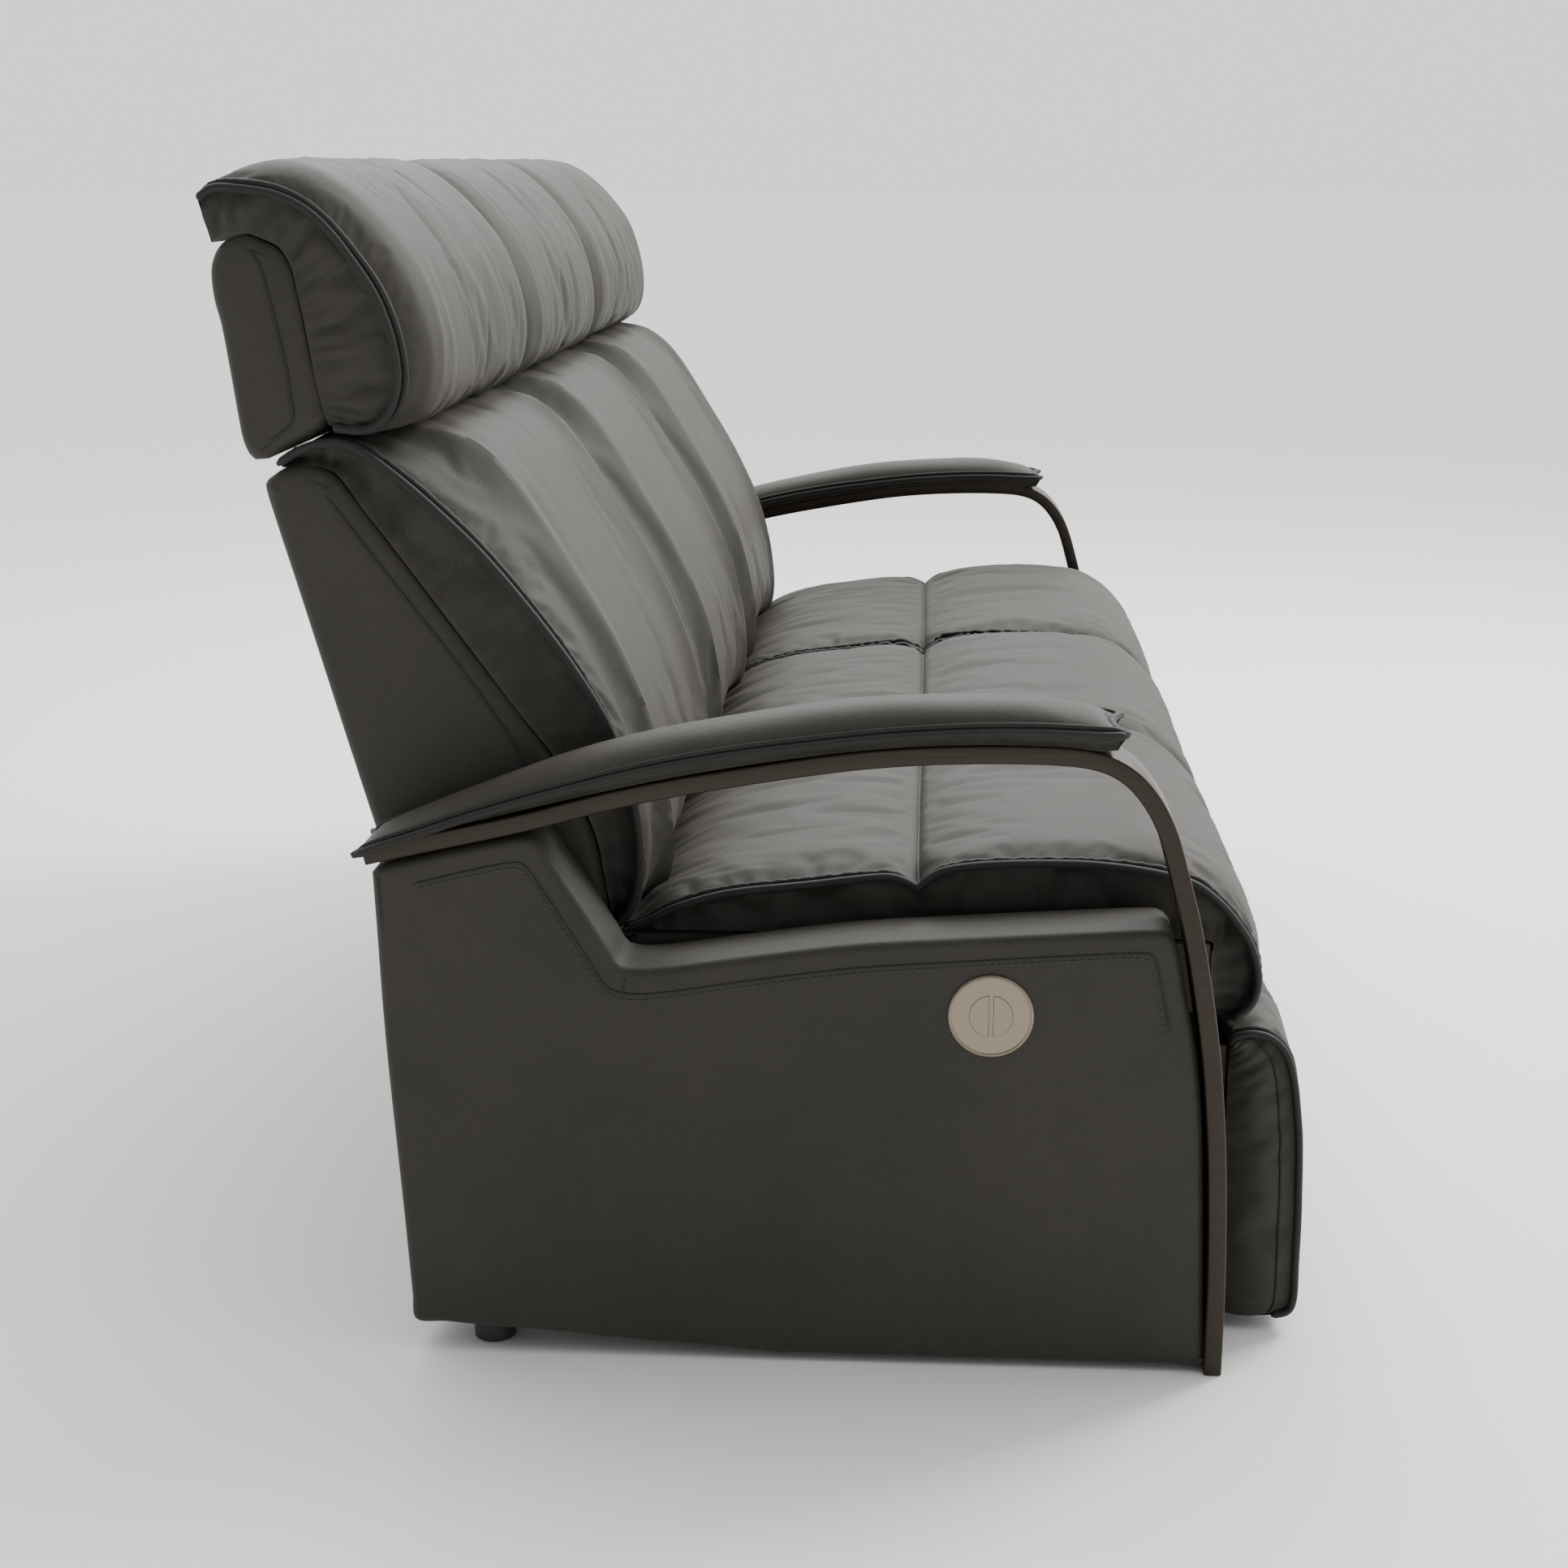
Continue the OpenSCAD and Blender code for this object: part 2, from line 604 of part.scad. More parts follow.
reach_links(right);  // reach_links_right
reach_links(left);  // reach_links_left
footrest_board(right);  // footrest_board_right
footrest_board(left);  // footrest_board_left
footrest_pad(right);  // footrest_pad_right
footrest_pad(left);  // footrest_pad_left
motor(right);  // motor_right
motor(left);  // motor_left
drive_fork(right);  // drive_fork_right
drive_fork(left);  // drive_fork_left
control_plate(right);  // control_plate_right
control_plate(left);  // control_plate_left
button(right, -1);  // open_button_right
button(right, 1);  // close_button_right
button(left, -1);  // open_button_left
button(left, 1);  // close_button_left
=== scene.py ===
import json
import math
import bmesh
import bpy
import numpy as np
from mathutils import Matrix, Vector, noise


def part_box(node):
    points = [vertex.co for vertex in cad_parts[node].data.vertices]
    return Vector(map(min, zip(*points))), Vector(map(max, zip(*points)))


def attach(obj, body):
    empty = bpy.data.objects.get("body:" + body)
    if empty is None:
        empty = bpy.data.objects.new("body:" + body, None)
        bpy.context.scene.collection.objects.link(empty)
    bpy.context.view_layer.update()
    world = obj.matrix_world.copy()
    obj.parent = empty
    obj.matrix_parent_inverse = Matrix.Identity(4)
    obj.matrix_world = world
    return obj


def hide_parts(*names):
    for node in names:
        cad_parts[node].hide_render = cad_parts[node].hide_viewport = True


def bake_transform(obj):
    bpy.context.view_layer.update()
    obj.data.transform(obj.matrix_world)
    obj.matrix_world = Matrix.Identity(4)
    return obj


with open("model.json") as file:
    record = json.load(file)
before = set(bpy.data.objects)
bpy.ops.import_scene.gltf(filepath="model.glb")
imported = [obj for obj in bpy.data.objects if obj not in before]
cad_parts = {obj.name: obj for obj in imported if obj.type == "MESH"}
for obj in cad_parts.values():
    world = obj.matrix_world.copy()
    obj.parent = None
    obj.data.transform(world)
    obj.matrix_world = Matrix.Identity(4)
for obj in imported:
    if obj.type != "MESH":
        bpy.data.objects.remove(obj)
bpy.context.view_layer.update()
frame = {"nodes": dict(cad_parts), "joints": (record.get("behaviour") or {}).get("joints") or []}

# Outlines are lists of (back, up) in millimetres: back from the arm straps' feet, up from the floor.
# The hinges of the backs stand a known way behind those feet, which ties the outlines to the frame.
joints = {joint["name"]: joint for joint in frame["joints"]}
hingeBack = 0.600                       # metres from the straps' feet to the hinges
feetY = joints["right_recline"]["pos_m"][1] - hingeBack
seats = ("right", "middle", "left")
ends = ("right", "left")
backBody = {"right": "right_back", "middle": "sofa", "left": "left_back"}


def place(points):                      # outline in millimetres to y, z in metres
    return np.array(points, float) / 1000 + [feetY, 0]


def curveAt(points, steps):             # smooth curve through the points, read at steps from 0 to 1
    p = np.asarray(points, float)
    held = np.vstack([2 * p[0] - p[1], p, 2 * p[-1] - p[-2]])
    where = np.clip(np.asarray(steps), 0, 1) * (len(p) - 1)
    i = np.minimum(where.astype(int), len(p) - 2)
    t = (where - i)[:, None]
    a, b, c, d = held[i], held[i + 1], held[i + 2], held[i + 3]
    return 0.5 * (2 * b + (c - a) * t + (2 * a - 5 * b + 4 * c - d) * t ** 2
                  + (3 * b - a - 3 * c + d) * t ** 3)


def evenSteps(points, count):           # steps that come out evenly spaced along the curve
    fine = np.linspace(0, 1, 1500)
    run = np.r_[0, np.cumsum(np.linalg.norm(np.diff(curveAt(points, fine), axis=0), axis=1))]
    return np.interp(np.linspace(0, run[-1], count), run, fine)


def outward(path, inside):              # unit normals of a y, z path, pointing away from inside
    run = np.gradient(path, axis=0)
    n = np.stack([run[:, 1], -run[:, 0]], 1)
    n /= np.linalg.norm(n, axis=1)[:, None] + 1e-12
    side = np.sign(np.sum((path - inside) * n, axis=1).sum())
    return n * (side if side else 1)


# Faces beside a neighbouring seat stay almost flat, and their seams and piping keep out of the gap
besideSeat = {"upTo": 0.84, "bow": 0.001, "puff": 0.0006, "pipeOut": 0.0014, "seamLift": -0.0003,
              "seamRadius": 0.0010}
freeFace = {"pipeOut": 0.0006, "seamLift": 0.0004, "seamRadius": 0.0013}


def isFree(x):                          # a side face at an end of the sofa, with no neighbour beside it
    return abs(x) > besideSeat["upTo"]


def bump(x, middle, width):             # a smooth hump of height 1
    return np.exp(-((x - middle) / width) ** 2)


def ease(x, low, high):                 # 0 below low, 1 above high, smooth between
    t = np.clip((x - low) / (high - low), 0, 1)
    return t * t * (3 - 2 * t)


seedSpacing = 7.31                      # how far apart the seeds lie in the noise


def ripple(shape, a, b, seed):          # smooth noise over two arrays of coordinates
    out = np.empty(shape)
    flatA, flatB = np.broadcast_to(a, shape), np.broadcast_to(b, shape)
    for i in range(shape[0]):
        for j in range(shape[1]):
            out[i, j] = noise.noise(Vector((flatA[i, j], flatB[i, j], seed * seedSpacing)))
    return out


def blur(values, reach):                # running average over rows and columns
    out = values
    for axis in (0, 1):
        held = np.concatenate([np.repeat(out.take([0], axis), reach, axis), out,
                               np.repeat(out.take([-1], axis), reach, axis)], axis)
        total = np.cumsum(held, axis)
        ahead = total.take(range(2 * reach, total.shape[axis]), axis)
        behind = total.take(range(0, total.shape[axis] - 2 * reach), axis)
        out = (ahead - behind) / (2 * reach)
    return out


clothRun = {
    "frames": 13, "quality": 3, "mass": 0.4, "stretch": 25, "shear": 12, "bending": 2.5, "airDamping": 6,
    "pinStiffness": 4, "pressure": 4.0, "grow": 0.014,
    "cap": 0.009, "keepSwell": 0.25, "reach": 9,        # how far a point may move, and the swelling it keeps
}


def swell(name, grids, pins, spec):
    # the cover is simulated as leather cloth: filled with air and a little too large for its seams;
    # its movement is capped and mostly evened out, so that the cushion keeps its size and gains its creases
    run = {**clothRun, **spec["cloth"]}
    index, points, maps, hold = {}, [], [], []
    for grid, pin in zip(grids, pins):
        ids = np.empty(grid.shape[:2], int)
        for r in range(grid.shape[0]):
            for c in range(grid.shape[1]):
                key = tuple(np.round(grid[r, c], 5))
                if key not in index:
                    index[key] = len(points)
                    points.append(grid[r, c].tolist())
                    hold.append(0.0)
                ids[r, c] = index[key]
                hold[ids[r, c]] = max(hold[ids[r, c]], pin[r, c])
        maps.append(ids)
    faces = set()
    for ids in maps:
        for r in range(ids.shape[0] - 1):
            for c in range(ids.shape[1] - 1):
                face = tuple(dict.fromkeys((ids[r, c], ids[r, c + 1], ids[r + 1, c + 1], ids[r + 1, c])))
                if len(face) > 2:
                    faces.add(tuple(int(k) for k in face))
    mesh = bpy.data.meshes.new(name + "Cloth")
    mesh.from_pydata(points, [], sorted(faces))
    work = bmesh.new()
    work.from_mesh(mesh)
    bmesh.ops.recalc_face_normals(work, faces=work.faces)
    work.to_mesh(mesh)
    work.free()
    cloth = bpy.data.objects.new(name + "Cloth", mesh)
    bpy.context.scene.collection.objects.link(cloth)
    group = cloth.vertex_groups.new(name="hold")
    for k, weight in enumerate(hold):
        if weight > 0:
            group.add([k], weight, "REPLACE")
    modifier = cloth.modifiers.new("cloth", "CLOTH")
    settings = modifier.settings
    settings.quality = run["quality"]
    settings.mass = run["mass"]
    settings.tension_stiffness = run["stretch"]
    settings.compression_stiffness = run["stretch"]
    settings.shear_stiffness = run["shear"]
    settings.bending_stiffness = run["bending"]
    settings.air_damping = run["airDamping"]
    settings.vertex_group_mass = "hold"
    settings.pin_stiffness = run["pinStiffness"]
    settings.shrink_min = -run["grow"]
    settings.use_pressure = True
    settings.uniform_pressure_force = run["pressure"]
    settings.effector_weights.gravity = 0
    modifier.collision_settings.use_collision = False
    modifier.point_cache.frame_start = 1
    modifier.point_cache.frame_end = run["frames"]
    for step in range(1, run["frames"] + 1):
        bpy.context.scene.frame_set(step)
    shown = cloth.evaluated_get(bpy.context.evaluated_depsgraph_get())
    after = np.array([v.co[:] for v in shown.data.vertices])
    bpy.data.objects.remove(cloth)
    bpy.context.scene.frame_set(1)
    shift = np.zeros_like(after)
    count = np.zeros(len(after))
    for grid, ids in zip(grids, maps):
        moved = after[ids] - grid
        moved = moved - (1 - run["keepSwell"]) * blur(moved, run["reach"])
        far = np.linalg.norm(moved, axis=2)[:, :, None]
        moved *= np.minimum(1, run["cap"] / np.maximum(far, 1e-9))
        np.add.at(shift, ids.ravel(), moved.reshape(-1, 3))
        np.add.at(count, ids.ravel(), 1)
    shift /= np.maximum(count, 1)[:, None]
    shift *= (1 - np.array(hold))[:, None]
    return [grid + shift[ids] for grid, ids in zip(grids, maps)]


weldDistance = 2e-5                     # points closer than this become one


def weave(name, grids, material, sharp=50, ride=None):
    # grids of points, in rows and columns, welded edge to edge into one mesh
    points, faces = [], []
    for grid in grids:
        rows, columns = grid.shape[:2]
        base = len(points)
        points.extend(grid.reshape(-1, 3).tolist())
        for r in range(rows - 1):
            for c in range(columns - 1):
                k = base + r * columns + c
                faces.append((k, k + 1, k + columns + 1, k + columns))
    mesh = bpy.data.meshes.new(name)
    mesh.from_pydata(points, [], faces)
    work = bmesh.new()
    work.from_mesh(mesh)
    bmesh.ops.remove_doubles(work, verts=work.verts, dist=weldDistance)
    bmesh.ops.dissolve_degenerate(work, edges=work.edges, dist=weldDistance / 20)
    loose = [v for v in work.verts if not v.link_faces]
    bmesh.ops.delete(work, geom=loose, context="VERTS")
    bmesh.ops.recalc_face_normals(work, faces=work.faces)
    work.to_mesh(mesh)
    work.free()
    piece = bpy.data.objects.new(name, mesh)
    bpy.context.scene.collection.objects.link(piece)
    mesh.shade_smooth()
    mesh.set_sharp_from_angle(angle=math.radians(sharp))
    mesh.materials.append(material)
    if ride:
        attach(piece, ride)
    return piece


def tube(name, path, radius, material, sides=10, tip=0.45):
    # round piping along a path, its ends drawn in to a share of the radius
    p = np.asarray(path, float)
    run = np.gradient(p, axis=0)
    run /= np.linalg.norm(run, axis=1)[:, None] + 1e-12
    side = np.cross(run, [1.0, 0.0, 0.0]) if abs(run[0][0]) < 0.9 else np.cross(run, [0.0, 0.0, 1.0])
    frames = [side[0] / np.linalg.norm(side[0])]
    for k in range(1, len(p)):
        s = frames[-1] - run[k] * np.dot(frames[-1], run[k])
        frames.append(s / np.linalg.norm(s))
    a = np.array(frames)
    b = np.cross(run, a)
    turn = np.linspace(0, 2 * math.pi, sides + 1)
    ring = a[:, None] * np.cos(turn)[None, :, None] + b[:, None] * np.sin(turn)[None, :, None]
    size = np.full(len(p), radius)
    size[0] = radius * tip
    size[-1] = radius * tip
    grid = p[:, None] + ring * size[:, None, None]
    caps = [np.stack([np.repeat(p[k][None], sides + 1, 0), grid[k]]) for k in (0, -1)]
    return weave(name, [grid, *caps], material, sharp=80)


stitchSpec = {"pitch": 0.0075, "length": 0.0048, "radius": 0.0007, "end": 0.2}


def stitches(name, path, material):     # a row of thread stitches laid along a path, each thinner at its ends
    pitch, length, radius, end = stitchSpec.values()
    p = np.asarray(path, float)
    run = np.r_[0, np.cumsum(np.linalg.norm(np.diff(p, axis=0), axis=1))]
    starts = np.arange(0, run[-1] - length, pitch)
    at = lambda s: np.stack([np.interp(s, run, p[:, k]) for k in range(3)], -1)
    grids = []
    turn = np.linspace(0, 2 * math.pi, 6)
    for s in starts:
        a, b = at(s), at(s + length)
        along = (b - a) / np.linalg.norm(b - a)
        u = np.cross(along, [1.0, 0.0, 0.0])
        u = u / np.linalg.norm(u) if np.linalg.norm(u) > 0.1 else np.array([0.0, 1.0, 0.0])
        v = np.cross(along, u)
        ring = np.cos(turn)[:, None] * u + np.sin(turn)[:, None] * v
        rows = [a + ring * radius * end, a + along * length * end + ring * radius,
                b - along * length * end + ring * radius, b + ring * radius * end]
        grids.append(np.stack(rows))
    return weave(name, grids, material, sharp=80)


# Materials: each finish has its colours and its grain in one dictionary

def newMaterial(name):
    material = bpy.data.materials.new(name)
    material.use_nodes = True
    tree = material.node_tree
    return material, tree, tree.nodes["Principled BSDF"]


def feed(tree, socket, value):          # another node's output is linked, anything else is set
    if isinstance(value, bpy.types.NodeSocket):
        tree.links.new(value, socket)
    else:
        socket.default_value = value


def addNode(tree, kind, *parts, **values):
    # values go to the sockets or settings of that name, parts to the first sockets in order
    node = tree.nodes.new(kind)
    for key, value in values.items():
        if key in node.inputs:
            feed(tree, node.inputs[key], value)
        else:
            setattr(node, key, value)
    for socket, value in zip(node.inputs, parts):
        feed(tree, socket, value)
    return node


def remap(tree, value, start, end, kind="LINEAR"):      # stretches one range of numbers over another
    node = addNode(tree, "ShaderNodeMapRange", value, interpolation_type=kind)
    for socket, number in zip(("From Min", "From Max", "To Min", "To Max"), (*start, *end)):
        node.inputs[socket].default_value = number
    return node.outputs["Result"]


def blendColours(tree, factor, low, high):
    ramp = tree.nodes.new("ShaderNodeValToRGB")
    for stop, position, colour in zip(ramp.color_ramp.elements, (0.3, 0.7), (low, high)):
        stop.position = position
        stop.color = (*colour, 1)
    feed(tree, ramp.inputs["Fac"], factor)
    return ramp.outputs["Color"]


leatherFinish = {
    "dark": (0.026, 0.0236, 0.0192), "light": (0.036, 0.0327, 0.0266), "worn": (0.066, 0.059, 0.047),
    "cloud": 7.0, "mottle": 160.0, "mottleShare": 0.35, "mottleDrop": 0.17,
    "wearFrom": (0.515, 0.60), "mostWear": 0.45,        # raised edges rub lighter
    "paintedShadeFrom": (0.44, 0.495), "paintedShadeLevel": 0.45,   # painted shade: creases and the feet of seams are darkened in the colour
    "roughness": (0.54, 0.68), "specular": 0.25,
    "sheen": 0.05, "sheenRoughness": 0.45, "sheenTint": (0.80, 0.74, 0.66, 1),
    "pores": 820, "wrinkle": 90.0, "wrinkleShare": 0.6, "grainDepth": 0.00035, "grainStrength": 0.45,
}


def leatherMaterial(name, finish):
    material, tree, shader = newMaterial(name)
    spot = addNode(tree, "ShaderNodeTexCoord").outputs["Object"]
    cloudy = addNode(tree, "ShaderNodeTexNoise", Vector=spot, Scale=finish["cloud"], Detail=5.0,
                     Roughness=0.6)
    mottle = addNode(tree, "ShaderNodeTexNoise", Vector=spot, Scale=finish["mottle"], Detail=3.0)
    pores = addNode(tree, "ShaderNodeTexVoronoi", Vector=spot, Scale=finish["pores"])
    wrinkles = addNode(tree, "ShaderNodeTexNoise", Vector=spot, Scale=finish["wrinkle"], Detail=6.0,
                       Roughness=0.65)
    fine = addNode(tree, "ShaderNodeMath", mottle.outputs["Fac"], finish["mottleShare"], operation="MULTIPLY")
    both = addNode(tree, "ShaderNodeMath", cloudy.outputs["Fac"], fine.outputs[0], operation="ADD")
    patchy = addNode(tree, "ShaderNodeMath", both.outputs[0], finish["mottleDrop"], operation="SUBTRACT")
    hide = blendColours(tree, patchy.outputs[0], finish["dark"], finish["light"])
    ridge = addNode(tree, "ShaderNodeNewGeometry").outputs["Pointiness"]
    rub = remap(tree, ridge, finish["wearFrom"], (0, finish["mostWear"]))
    worn = addNode(tree, "ShaderNodeMix", data_type="RGBA", Factor=rub, A=hide, B=(*finish["worn"], 1))
    # painted shade: where the surface is hollow, in creases and at the feet of seams, the colour is darkened
    shade = remap(tree, ridge, finish["paintedShadeFrom"], (finish["paintedShadeLevel"], 1))
    paintedShadeColour = addNode(tree, "ShaderNodeVectorMath", worn.outputs["Result"], operation="SCALE", Scale=shade)
    feed(tree, shader.inputs["Base Color"], paintedShadeColour.outputs["Vector"])
    feed(tree, shader.inputs["Roughness"], remap(tree, cloudy.outputs["Fac"], (0, 1), finish["roughness"]))
    shader.inputs["Sheen Weight"].default_value = finish["sheen"]
    shader.inputs["Sheen Roughness"].default_value = finish["sheenRoughness"]
    shader.inputs["Sheen Tint"].default_value = finish["sheenTint"]
    shader.inputs["Specular IOR Level"].default_value = finish["specular"]
    height = addNode(tree, "ShaderNodeMath", wrinkles.outputs["Fac"], finish["wrinkleShare"],
                     pores.outputs["Distance"], operation="MULTIPLY_ADD")
    grain = addNode(tree, "ShaderNodeBump", Strength=finish["grainStrength"], Distance=finish["grainDepth"],
                    Height=height.outputs[0])
    feed(tree, shader.inputs["Normal"], grain.outputs["Normal"])
    return material


metalFinishes = {
    "bronze": {"low": (0.026, 0.0195, 0.0145), "high": (0.037, 0.028, 0.021), "metal": 0.7,
               "roughness": (0.36, 0.48), "streak": (4, 4, 260)},
    "champagne": {"low": (0.22, 0.185, 0.140), "high": (0.28, 0.235, 0.180), "metal": 0.9,
                  "roughness": (0.34, 0.44), "streak": (1400, 1400, 1400)},
    "blackSteel": {"low": (0.020, 0.020, 0.022), "high": (0.032, 0.032, 0.034), "metal": 0.5,
                   "roughness": (0.42, 0.60), "streak": (40, 40, 40)},
    "brightSteel": {"low": (0.52, 0.52, 0.53), "high": (0.62, 0.62, 0.63), "metal": 1.0,
                    "roughness": (0.14, 0.24), "streak": (30, 30, 300)},
}


def stretched(tree, scale, **values):   # noise drawn out by a different scale along each axis
    spot = addNode(tree, "ShaderNodeTexCoord").outputs["Object"]
    mapped = addNode(tree, "ShaderNodeMapping", Vector=spot, Scale=scale).outputs["Vector"]
    return addNode(tree, "ShaderNodeTexNoise", Vector=mapped, Scale=1.0, **values).outputs["Fac"]


def metalMaterial(name, finish):
    material, tree, shader = newMaterial(name)
    brushed = stretched(tree, finish["streak"], Detail=6.0, Roughness=0.7)
    feed(tree, shader.inputs["Base Color"], blendColours(tree, brushed, finish["low"], finish["high"]))
    feed(tree, shader.inputs["Roughness"], remap(tree, brushed, (0, 1), finish["roughness"]))
    shader.inputs["Metallic"].default_value = finish["metal"]
    fine = addNode(tree, "ShaderNodeBump", Strength=0.12, Distance=0.0002, Height=brushed)
    feed(tree, shader.inputs["Normal"], fine.outputs["Normal"])
    return material


plainFinishes = {
    "blackPlastic": {"low": (0.016, 0.016, 0.017), "high": (0.026, 0.026, 0.027), "roughness": 0.6,
                     "scale": (900, 900, 900), "depth": 0.0002},
    "stainedPly": {"low": (0.020, 0.014, 0.010), "high": (0.040, 0.027, 0.018), "roughness": 0.55,
                   "scale": (3, 22, 40), "depth": 0.0003},
    "webbing": {"low": (0.03, 0.03, 0.03), "high": (0.10, 0.10, 0.10), "roughness": 0.85,
                "scale": (900, 420, 900), "depth": 0.0005},
    "thread": {"low": (0.030, 0.028, 0.026), "high": (0.055, 0.052, 0.048), "roughness": 0.7,
               "scale": (1200, 1200, 1200), "depth": 0.0002},
}


def plainMaterial(name, finish):
    material, tree, shader = newMaterial(name)
    figure = stretched(tree, finish["scale"], Detail=5.0)
    feed(tree, shader.inputs["Base Color"], blendColours(tree, figure, finish["low"], finish["high"]))
    shader.inputs["Roughness"].default_value = finish["roughness"]
    relief = addNode(tree, "ShaderNodeBump", Strength=0.3, Distance=finish["depth"], Height=figure)
    feed(tree, shader.inputs["Normal"], relief.outputs["Normal"])
    return material


leather = leatherMaterial("taupeLeather", leatherFinish)
pipingFinish = {**leatherFinish, "dark": (0.011, 0.0102, 0.0090), "light": (0.018, 0.0168, 0.0146),
                "worn": (0.036, 0.033, 0.028)}
piping = leatherMaterial("pipingLeather", pipingFinish)
metals = {name: metalMaterial(name, finish) for name, finish in metalFinishes.items()}
plains = {name: plainMaterial(name, finish) for name, finish in plainFinishes.items()}
print("materials made")


# Every upholstered piece is a shell: a top surface from side to side, an underside, and a gusset at each side

shellMake = {
    "edgeBias": 1.5,                    # gathers the columns towards the side seams
    "tuckOver": 0.05,                   # share of the gusset over which it tucks in under the piping
    "ruckAlong": 26, "ruckDown": 1.3,   # how fast the gusset's creases follow each other
    "pinchOver": 0.05, "closeRows": 5,
}


def shell(name, xLow, xHigh, spec, relief, body="sofa"):
    along, across, rows = spec["along"], spec["across"], spec["gusset"]
    crown = place(spec["crown"])
    steps = evenSteps(crown, along)
    crown = curveAt(crown, steps)
    welt = curveAt(place(spec["welt"]), steps)
    under = curveAt(place(spec["under"]), steps)
    mid, half = (xLow + xHigh) / 2, (xHigh - xLow) / 2
    u = np.linspace(-1, 1, across + 1)
    u = np.sign(u) * (1 - (1 - np.abs(u)) ** shellMake["edgeBias"])
    x = mid + half * u
    edge = half * (1 - np.abs(u))
    top = welt[:, None] + (crown - welt)[:, None] * spec["rise"](edge)[None, :, None]
    back = (crown[:, 0] - feetY) * 1000
    amount = relief(x[None, :], edge[None, :], steps[:, None], back[:, None])
    top = top + outward(crown, under)[:, None] * amount[:, :, None]
    topGrid = np.dstack([np.broadcast_to(x, top.shape[:2]), top[:, :, 0], top[:, :, 1]])
    if "pinch" in spec:                 # the ends draw back between their corners
        pull = spec["pinch"] * (1 - u ** 2)[None, :]
        reach = shellMake["pinchOver"]
        fade = np.exp(-(steps / reach) ** 2)[:, None] - np.exp(-((1 - steps) / reach) ** 2)[:, None]
        topGrid[:, :, 1] += -pull * fade
    grids = [topGrid]
    share = np.linspace(0, 1, rows + 1)
    for side, j in ((-1, 0), (1, -1)):
        bow = spec["sag"] if isFree(xLow if side < 0 else xHigh) else max(spec["sag"], besideSeat["bow"])
        inward = spec["tuck"] * (1 - np.exp(-share / shellMake["tuckOver"])) + bow * np.sin(math.pi * share)
        edgeLine = topGrid[:, j, 1:]
        spots = edgeLine[:, None] + (under - edgeLine)[:, None] * share[None, :, None]
        wave = spec["ruck"] * ripple((along, rows + 1), steps[:, None] * shellMake["ruckAlong"],
                                     share[None, :] * shellMake["ruckDown"], 3 + side)
        xs = mid + side * (half - inward[None, :] - wave * np.sin(math.pi * share)[None, :])
        grids.append(np.dstack([xs, spots[:, :, 0], spots[:, :, 1]]))
    if "cloth" in spec:
        pins = [spec["holdTop"](edge[None, :], back[:, None])]
        pins += [np.zeros((along, rows + 1)) for gusset in grids[1:]]
        for pin in pins[1:]:
            pin[:, -1] = 1
            pin[:, 0] = pins[0][0, 0]
        for pin in pins:
            pin[0] = pin[-1] = 1
        grids = swell(name, grids, pins, spec)
        topGrid = grids[0]
    share = np.linspace(0, 1, across + 1)[None, :]
    lowX = grids[1][:, -1, 0][:, None] * (1 - share) + grids[2][:, -1, 0][:, None] * share
    flat = np.repeat(under[:, None], across + 1, 1)
    underGrid = np.dstack([lowX, flat[:, :, 0], flat[:, :, 1]])
    grids.append(underGrid)
    last = shellMake["closeRows"] - 1
    for row in (0, -1):                 # strips close the two ends
        mix = np.linspace(0, 1, last + 1)[:, None, None]
        strip = topGrid[row][None] * (1 - mix) + underGrid[row][None] * mix
        for j, gusset in ((0, grids[1]), (-1, grids[2])):
            strip[:, j] = [gusset[row][int(round(k * rows / last))] for k in range(last + 1)]
        grids.append(strip)
    piece = weave(name, grids, leather, ride=body)
    for tag, gusset in (("A", grids[1]), ("B", grids[2])):
        if "gussetSeam" in spec:        # a sewn line part of the way down each gusset
            k = int(round(spec["gussetSeam"] * rows))
            sewOn(piece, f"{piece.name}GussetSeam{tag}", gusset[4:-4, k], 0.0016)
    return piece, topGrid


def sewOn(piece, name, path, radius, sides=8):
    # a roll of piping leather that moves with its piece
    roll = tube(name, path, radius, piping, sides)
    roll.parent = piece


def pipeEdges(piece, topGrid, radius, second):
    # piping sewn round both side edges, with a second, thinner roll beside it
    for side, j, step in (("A", 0, 3), ("B", -1, -4)):
        line = topGrid[:, j].copy()
        out = freeFace["pipeOut"] if isFree(line[:, 0].mean()) else besideSeat["pipeOut"] - radius
        line[:, 0] += out * (-1 if side == "A" else 1)
        away = topGrid[:, step] * 0.9 + topGrid[:, j] * 0.1 - line
        away /= np.linalg.norm(away, axis=1)[:, None]
        beside = line + away * (radius + second) * 1.05
        for k, (path, size) in enumerate(((line, radius), (beside, second))):
            sewOn(piece, f"{piece.name}Piping{side}{k}", path, size, sides=10)


def cover(node):
    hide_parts(node)


def upholster(node):
    cover(node)


# Seat cushions: crowned, rolled over the front, with one seam across and creases running back

def seamsHeld(edge, back):              # how firmly each point is held: only along the side seams
    return 0.9 * bump(edge, 0, 0.004) + 0 * back


def seatHeld(edge, back):               # a seat is also held along its cross seam
    seam = 0.95 * bump(back, seatSpec["seamAt"], seatSpec["seamWidth"]) + 0 * edge
    return np.maximum(seamsHeld(edge, back), seam)


